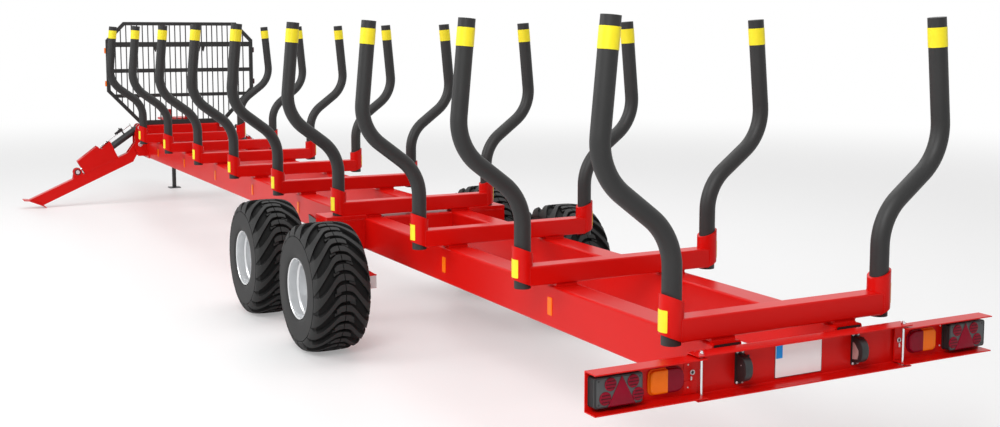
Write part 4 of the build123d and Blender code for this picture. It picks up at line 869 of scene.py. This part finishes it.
# Bogie: a keeper plate with bolts and a grease nipple on each pin, and pale caps under a red trim on the
# beams' ends
bogie = {
    "pinY": 0.815, "pinCap": (0.044, 0.008, 40), "keeperUp": 0.030,
    "keeper": (0.118, 0.034, 0.006, 0.006, 0.014, 0.001), "boltOut": 0.047, "boltFace": 0.014,
    "bolt": (0.017, 0.009), "nipple": (0.006, 12, ((0.007, 0), (0.014, 0), (0.017, 0.003), (0.022, 0.0035))),
    "ends": ((3.880, -1), (5.580, 1)), "endY": 0.731, "endZ": 0.515,
    "endCap": (0.110, 0.098, 0.005, -0.001, 0.003, 0.0008), "trimUp": 0.053,
    "trim": (0.113, 0.010, 0.003, -0.010, 0.004, 0.001),
}
keepers = bmesh.new()
keeperBolts = bmesh.new()
for side, _, _ in sides:
    spot = sideSpot(side, along(tyre["bogieAhead"]), bogie["pinY"], tyre["radius"])
    addCap(keepers, spot, *bogie["pinCap"])
    addPlate(keepers, spot @ Matrix.Translation((0, bogie["keeperUp"], 0)), *bogie["keeper"])
    for u in (-1, 1):
        place = (u * bogie["boltOut"], bogie["keeperUp"], bogie["boltFace"])
        addBolt(keeperBolts, spot @ Matrix.Translation(place), *bogie["bolt"])
    addRound(keeperBolts, spot, *bogie["nipple"])
newPiece("bogiePinKeepers", keepers, "frame", "silver_paint", finish="zinc")
newPiece("keeperBolts", keeperBolts, "frame", "silver_paint", finish="zinc")
for side, word, title in sides:
    endCap = bmesh.new()
    endTrim = bmesh.new()
    for ahead, way in bogie["ends"]:
        spot = facing((along(ahead), side * bogie["endY"], bogie["endZ"]), (way, 0, 0))
        addPlate(endCap, spot, *bogie["endCap"])
        addPlate(endTrim, spot @ Matrix.Translation((0, bogie["trimUp"], 0)), *bogie["trim"])
    newPiece(f"bogieEndCaps{title}", endCap, f"bogie_{word}", "silver_paint", finish="paleCap")
    newPiece(f"bogieEndTrim{title}", endTrim, f"bogie_{word}", "red_paint")
print("wheels and bogie dressed")

# Support legs. A leg's own frame runs out along the leg, up square to it, and across; the ram's likewise.
leg = {
    "ahead": 13.2, "pinY": 0.588, "pinZ": 0.83578, "slope": 24.0, "ramAbove": 0.242, "rodOut": 0.936,
    "rodAbove": 0.022, "columnPinX": 0.088,
    "columnPin": (((0.0, 0.0), (0.0, 0.031), (0.0075, 0.031), (0.0100, 0.0275), (0.0100, 0.006),
                   (0.0085, 0.005), (0.0085, 0.0)), 36),
    "rodPinAcross": 0.0465, "rodRing": (0.042, 0.007, 40), "rodCap": (0.026, 0.0135, 36, 0.002, 0.006),
    # Beads on the ears, the cover's foot and the foot plate: both ends, places across, radius, ripple
    "welds": (
        ((0.880, -0.0375), (1.028, -0.0375), (-0.0475, -0.0305, 0.0305, 0.0475), 0.003, 0.0035),
        ((0.356, -0.0375), (0.856, -0.0375), (-0.0605, 0.0605), 0.0028, longRipple),
        ((1.678, -0.040), (1.547, -0.183), (-0.0615, 0.0615), 0.003, 0.0035),
    ),
    "columnWeldXs": (0.0675, 0.0885), "columnWeldZs": (0.672, 1.105), "columnWeld": 0.0034,
}
ram = {
    "pipe": ((0.080, 0.046, 0), (0.080, 0.097, 0), (0.590, 0.097, 0), (0.590, 0.044, 0)),
    "pipeRadius": 0.0065, "pipeBend": 0.018,
    # Fittings on end: place along and above, then radius, height, segments and edge of a cap
    "unions": ((0.080, 0.046, 0.013, 0.018, 6, 0.002), (0.590, 0.046, 0.013, 0.018, 6, 0.002),
               (0.077, 0.098, 0.010, 0.021, 12, 0.003)),
    "plugs": ((0.232, 0.138, 0.009, 0.019, 6, 0.003),),
    "blocks": (
        ((0.200, 0.098, -0.020), (0.265, 0.138, 0.020), 0.004),
        ((0.255, 0.104, -0.016), (0.325, 0.132, 0.016), 0.004),
        ((0.212, 0.046, -0.012), (0.232, 0.106, 0.012), 0.003),
        ((0.470, 0.046, -0.012), (0.490, 0.106, 0.012), 0.003),
    ),
    "bandAt": (0.0385, 0.586), "bandSegments": 40,
    "band": ((0, 0.046), (0, 0.0492), (0.004, 0.0505), (0.028, 0.0505), (0.032, 0.0492), (0.032, 0.046)),
}


def legSpot(side):
    slope = math.radians(leg["slope"])
    out = Vector((0, side * math.cos(slope), -math.sin(slope)))
    above = Vector((0, side * math.sin(slope), math.cos(slope)))
    return makeSpot((along(leg["ahead"]), side * leg["pinY"], leg["pinZ"]), out, above, out.cross(above))


def ramSpot(side):
    legOwn = legSpot(side)
    base = legOwn.translation + Vector((0, 0, leg["ramAbove"]))
    out = (legOwn @ Vector((leg["rodOut"], leg["rodAbove"], 0)) - base).normalized()
    above = Vector((0, -side * out.z, side * out.y))
    return makeSpot(base, out, above, out.cross(above))


def addFittings(work, ramOwn, fittings):
    for ahead, above, radius, height, segments, edge in fittings:
        spot = ramOwn @ Matrix.Translation((ahead, above, 0)) @ Matrix.Rotation(math.radians(-90), 4, "X")
        addCap(work, spot, radius, height, segments, edge)


def addBlock(work, spot, low, high, soft):
    # A softened block between two corners in a spot's own frame
    middle = Matrix.Translation(((low[0] + high[0]) / 2, (low[1] + high[1]) / 2, 0))
    width, height = high[0] - low[0], high[1] - low[1]
    addPlate(work, spot @ middle, width, height, soft, low[2], high[2], soft * 0.8, 3)


for side, word, title in sides:
    ramOwn = ramSpot(side)
    work = bmesh.new()
    addPipe(work, [ramOwn @ Vector(p) for p in ram["pipe"]], ram["pipeRadius"], ram["pipeBend"])
    addFittings(work, ramOwn, ram["unions"])
    newPiece(f"ramPipe{title}", work, f"leg_barrel_{word}", "chrome")
    work = bmesh.new()
    for block in ram["blocks"]:
        addBlock(work, ramOwn, *block)
    addFittings(work, ramOwn, ram["plugs"])
    turnedRam = ramOwn @ Matrix.Rotation(math.radians(90), 4, "Y")  # its Z runs along the ram
    for start in ram["bandAt"]:
        addTurned(work, turnedRam, [(start + a, r) for a, r in ram["band"]], ram["bandSegments"])
    newPiece(f"ramValves{title}", work, f"leg_barrel_{word}", "black_paint")

    # Pin caps at the column and at the rod's eye
    work = bmesh.new()
    for above in (0, leg["ramAbove"]):
        for way in (-1, 1):
            place = (along(leg["ahead"]) + way * leg["columnPinX"], side * leg["pinY"], leg["pinZ"] + above)
            addTurned(work, facing(place, (way, 0, 0)), *leg["columnPin"])
    newPiece(f"columnPins{title}", work, "frame", "silver_paint", finish="zinc")
    legOwn = legSpot(side)
    rings = bmesh.new()
    caps = bmesh.new()
    for way, turn in ((-1, math.pi), (1, 0)):
        spot = legOwn @ Matrix.Translation((leg["rodOut"], leg["rodAbove"], way * leg["rodPinAcross"]))
        spot = spot @ Matrix.Rotation(turn, 4, "X")
        addCap(rings, spot, *leg["rodRing"])
        addCap(caps, spot, *leg["rodCap"])
    newPiece(f"rodPinRings{title}", rings, f"leg_{word}", "black_paint")
    newPiece(f"rodPinCaps{title}", caps, f"leg_{word}", "silver_paint", finish="zinc")

    work = bmesh.new()
    for start, end, acrosses, radius, ripple in leg["welds"]:
        for across in acrosses:
            addBead(work, [legOwn @ Vector((*p, across)) for p in (start, end)], radius, ripple=ripple)
    newPiece(f"legWelds{title}", work, f"leg_{word}", "red_paint")

    # Column to beam: beads down both plates
    work = bmesh.new()
    for way in (-1, 1):
        for across in leg["columnWeldXs"]:
            ends = [(along(leg["ahead"]) + way * across, side * beamBead, z) for z in leg["columnWeldZs"]]
            addBead(work, ends, leg["columnWeld"], ripple=longRipple)
    newPiece(f"columnWelds{title}", work, "frame", "red_paint")
print("support legs dressed")

# Headboard: side marker lamps on dark bases, and gussets under the upper rail
headboard = {
    "x": along(13.0), "markerY": 1.044, "markers": ((2.1775, 0.075), (1.7175, 0.075)),
    "markerWidth": 0.036, "baseMore": (0.004, 0.006), "baseRest": (0.006, 0, 0.006, 0.001),
    "markerRest": (0.006, 0.005, 0.022, 0.003), "gussetYs": (0.36, 0.30, -0.26, -0.32), "gussetHalf": 0.014,
    "gusset": ((-0.022, 2.230), (0.022, 2.230), (0.016, 2.1904), (0.004, 2.158), (-0.004, 2.158)),
}
for side, _, title in sides:
    markers = bmesh.new()
    bases = bmesh.new()
    wider, taller = headboard["baseMore"]
    for z, height in headboard["markers"]:
        spot, width = sideSpot(side, headboard["x"], headboard["markerY"], z), headboard["markerWidth"]
        addPlate(bases, spot, width + wider, height + taller, *headboard["baseRest"])
        addPlate(markers, spot, width, height, *headboard["markerRest"])
    newPiece(f"markerBases{title}", bases, "frame", "black_plastic")
    # The right markers sit in shade, and take the darker lens red that paints it
    slot, finish = ("amber_lens", None) if side > 0 else ("red_lens", "shadedRedLens")
    newPiece(f"markers{title}", markers, "frame", slot, finish=finish)
work = bmesh.new()
for y in headboard["gussetYs"]:
    addRings(work, [
        [(headboard["x"] + x, y + dy, z) for dy, z in headboard["gusset"]]
        for x in (-headboard["gussetHalf"], headboard["gussetHalf"])
    ])
newPiece("headboardGussets", work, "frame", "charcoal_paint")
print("headboard dressed")

# Drawbar: bolts round the eye's flange, and the parking stand's spring catch
drawbar = {
    "flangeX": along(15.435), "eyeZ": 0.56, "bolts": 8, "boltCircle": 0.0875, "bolt": (0.012, 0.007),
    "catchPlace": (along(14.6), -0.2531, 0.780),
    "catch": (((-0.002, 0.0), (-0.002, 0.013), (0.020, 0.013), (0.024, 0.010), (0.024, 0.006),
               (0.036, 0.006), (0.036, 0.011), (0.046, 0.011), (0.048, 0.008), (0.048, 0.0)), 20),
}
work = bmesh.new()
flange = facing((drawbar["flangeX"], 0, drawbar["eyeZ"]), (1, 0, 0))
for spot in ringSpots(flange, drawbar["bolts"], drawbar["boltCircle"]):
    addBolt(work, spot, *drawbar["bolt"])
newPiece("flangeBolts", work, "drawbar_body", "silver_paint", finish="zinc")
work = bmesh.new()
addTurned(work, facing(drawbar["catchPlace"], (0, -1, 0)), *drawbar["catch"])
newPiece("standCatch", work, "drawbar_body", "silver_paint", finish="zinc")
print("drawbar dressed")

# Floor, backdrop and light. To the camera the floor fades to white with distance, from a share that keeps
# shadows soft and pale. The backdrop is white to the camera and in mirrors, and lights the rest dimly.
studio = {
    "floorSize": 160.0, "floorZ": -0.0005, "floorColour": (0.92, 0.92, 0.925, 1), "floorRough": 0.42,
    "floorSpecular": 0.25, "fadeNear": 6.0, "fadeFar": 24.0, "fadeLeast": 0.3,
    "white": {"Color": (1, 1, 1, 1), "Strength": 1.0},
    "ambient": {"Color": (1.0, 0.99, 0.98, 1), "Strength": 0.35},
    # Soft square lamps: place, what each faces, its size and its power
    "lamps": (
        ("keyLamp", (along(-4.5), 6.0, 7.5), (along(1.5), 0, 0.8), 5.0, 640.0),
        ("leftLamp", (along(9.5), 14.0, 9.0), (along(8.5), 0, 0.8), 9.0, 1250.0),
        ("topLamp", (along(8.0), -1.5, 12.0), (along(8.0), 0, 0.8), 12.0, 820.0),
    ),
}
floorMesh = bpy.data.meshes.new("studioFloor")
half = studio["floorSize"] / 2
corners = [(x * half, y * half, studio["floorZ"]) for x, y in ((-1, -1), (1, -1), (1, 1), (-1, 1))]
floorMesh.from_pydata(corners, [], [(0, 1, 2, 3)])
floor = bpy.data.objects.new("studioFloor", floorMesh)
scene.collection.objects.link(floor)
floorMaterial = bpy.data.materials.new("studioFloor")
floorMaterial.use_nodes = True
tree = floorMaterial.node_tree
floorShader = tree.nodes["Principled BSDF"]
wire(tree, floorShader, {
    "Base Color": studio["floorColour"],
    "Roughness": studio["floorRough"],
    "Specular IOR Level": studio["floorSpecular"],
}, {})
bright = addNode(tree, "Emission", studio["white"], {})
where = addNode(tree, "TexCoord", {}, {})
distance = addNode(tree, "VectorMath", {}, {0: where.outputs["Object"]}, operation="LENGTH")
fade = addNode(tree, "MapRange", {
    "From Min": studio["fadeNear"],
    "From Max": studio["fadeFar"],
    "To Min": studio["fadeLeast"],
}, {"Value": distance.outputs["Value"]}, interpolation_type="SMOOTHSTEP")
rays = addNode(tree, "LightPath", {}, {})
lift = addNode(tree, "Math", {}, {0: fade.outputs["Result"], 1: rays.outputs["Is Camera Ray"]},
               operation="MULTIPLY")
mixed = addNode(tree, "MixShader", {}, {
    "Fac": lift.outputs["Value"], 1: floorShader.outputs["BSDF"], 2: bright.outputs["Emission"],
})
wire(tree, tree.nodes["Material Output"], {}, {"Surface": mixed.outputs["Shader"]})
floorMesh.materials.append(floorMaterial)

world = bpy.data.worlds.new("studioWorld")
scene.world = world
world.use_nodes = True
tree = world.node_tree
ambient = tree.nodes["Background"]
wire(tree, ambient, studio["ambient"], {})
seen = addNode(tree, "Background", studio["white"], {})
rays = addNode(tree, "LightPath", {}, {})
either = addNode(tree, "Math", {}, {0: rays.outputs["Is Camera Ray"], 1: rays.outputs["Is Glossy Ray"]},
                 operation="MAXIMUM")
anyOf = addNode(tree, "Math", {}, {0: either.outputs["Value"], 1: rays.outputs["Is Transmission Ray"]},
                operation="MAXIMUM")
mixed = addNode(tree, "MixShader", {}, {
    "Fac": anyOf.outputs["Value"], 1: ambient.outputs["Background"], 2: seen.outputs["Background"],
})
wire(tree, tree.nodes["World Output"], {}, {"Surface": mixed.outputs["Shader"]})

for name, place, target, size, power in studio["lamps"]:
    data = bpy.data.lights.new(name, "AREA")
    data.shape = "SQUARE"
    data.size = size
    data.energy = power
    lamp = bpy.data.objects.new(name, data)
    lamp.location = place
    lamp.rotation_euler = (Vector(target) - Vector(place)).to_track_quat("-Z", "Y").to_euler()
    scene.collection.objects.link(lamp)
print("floor and light made")
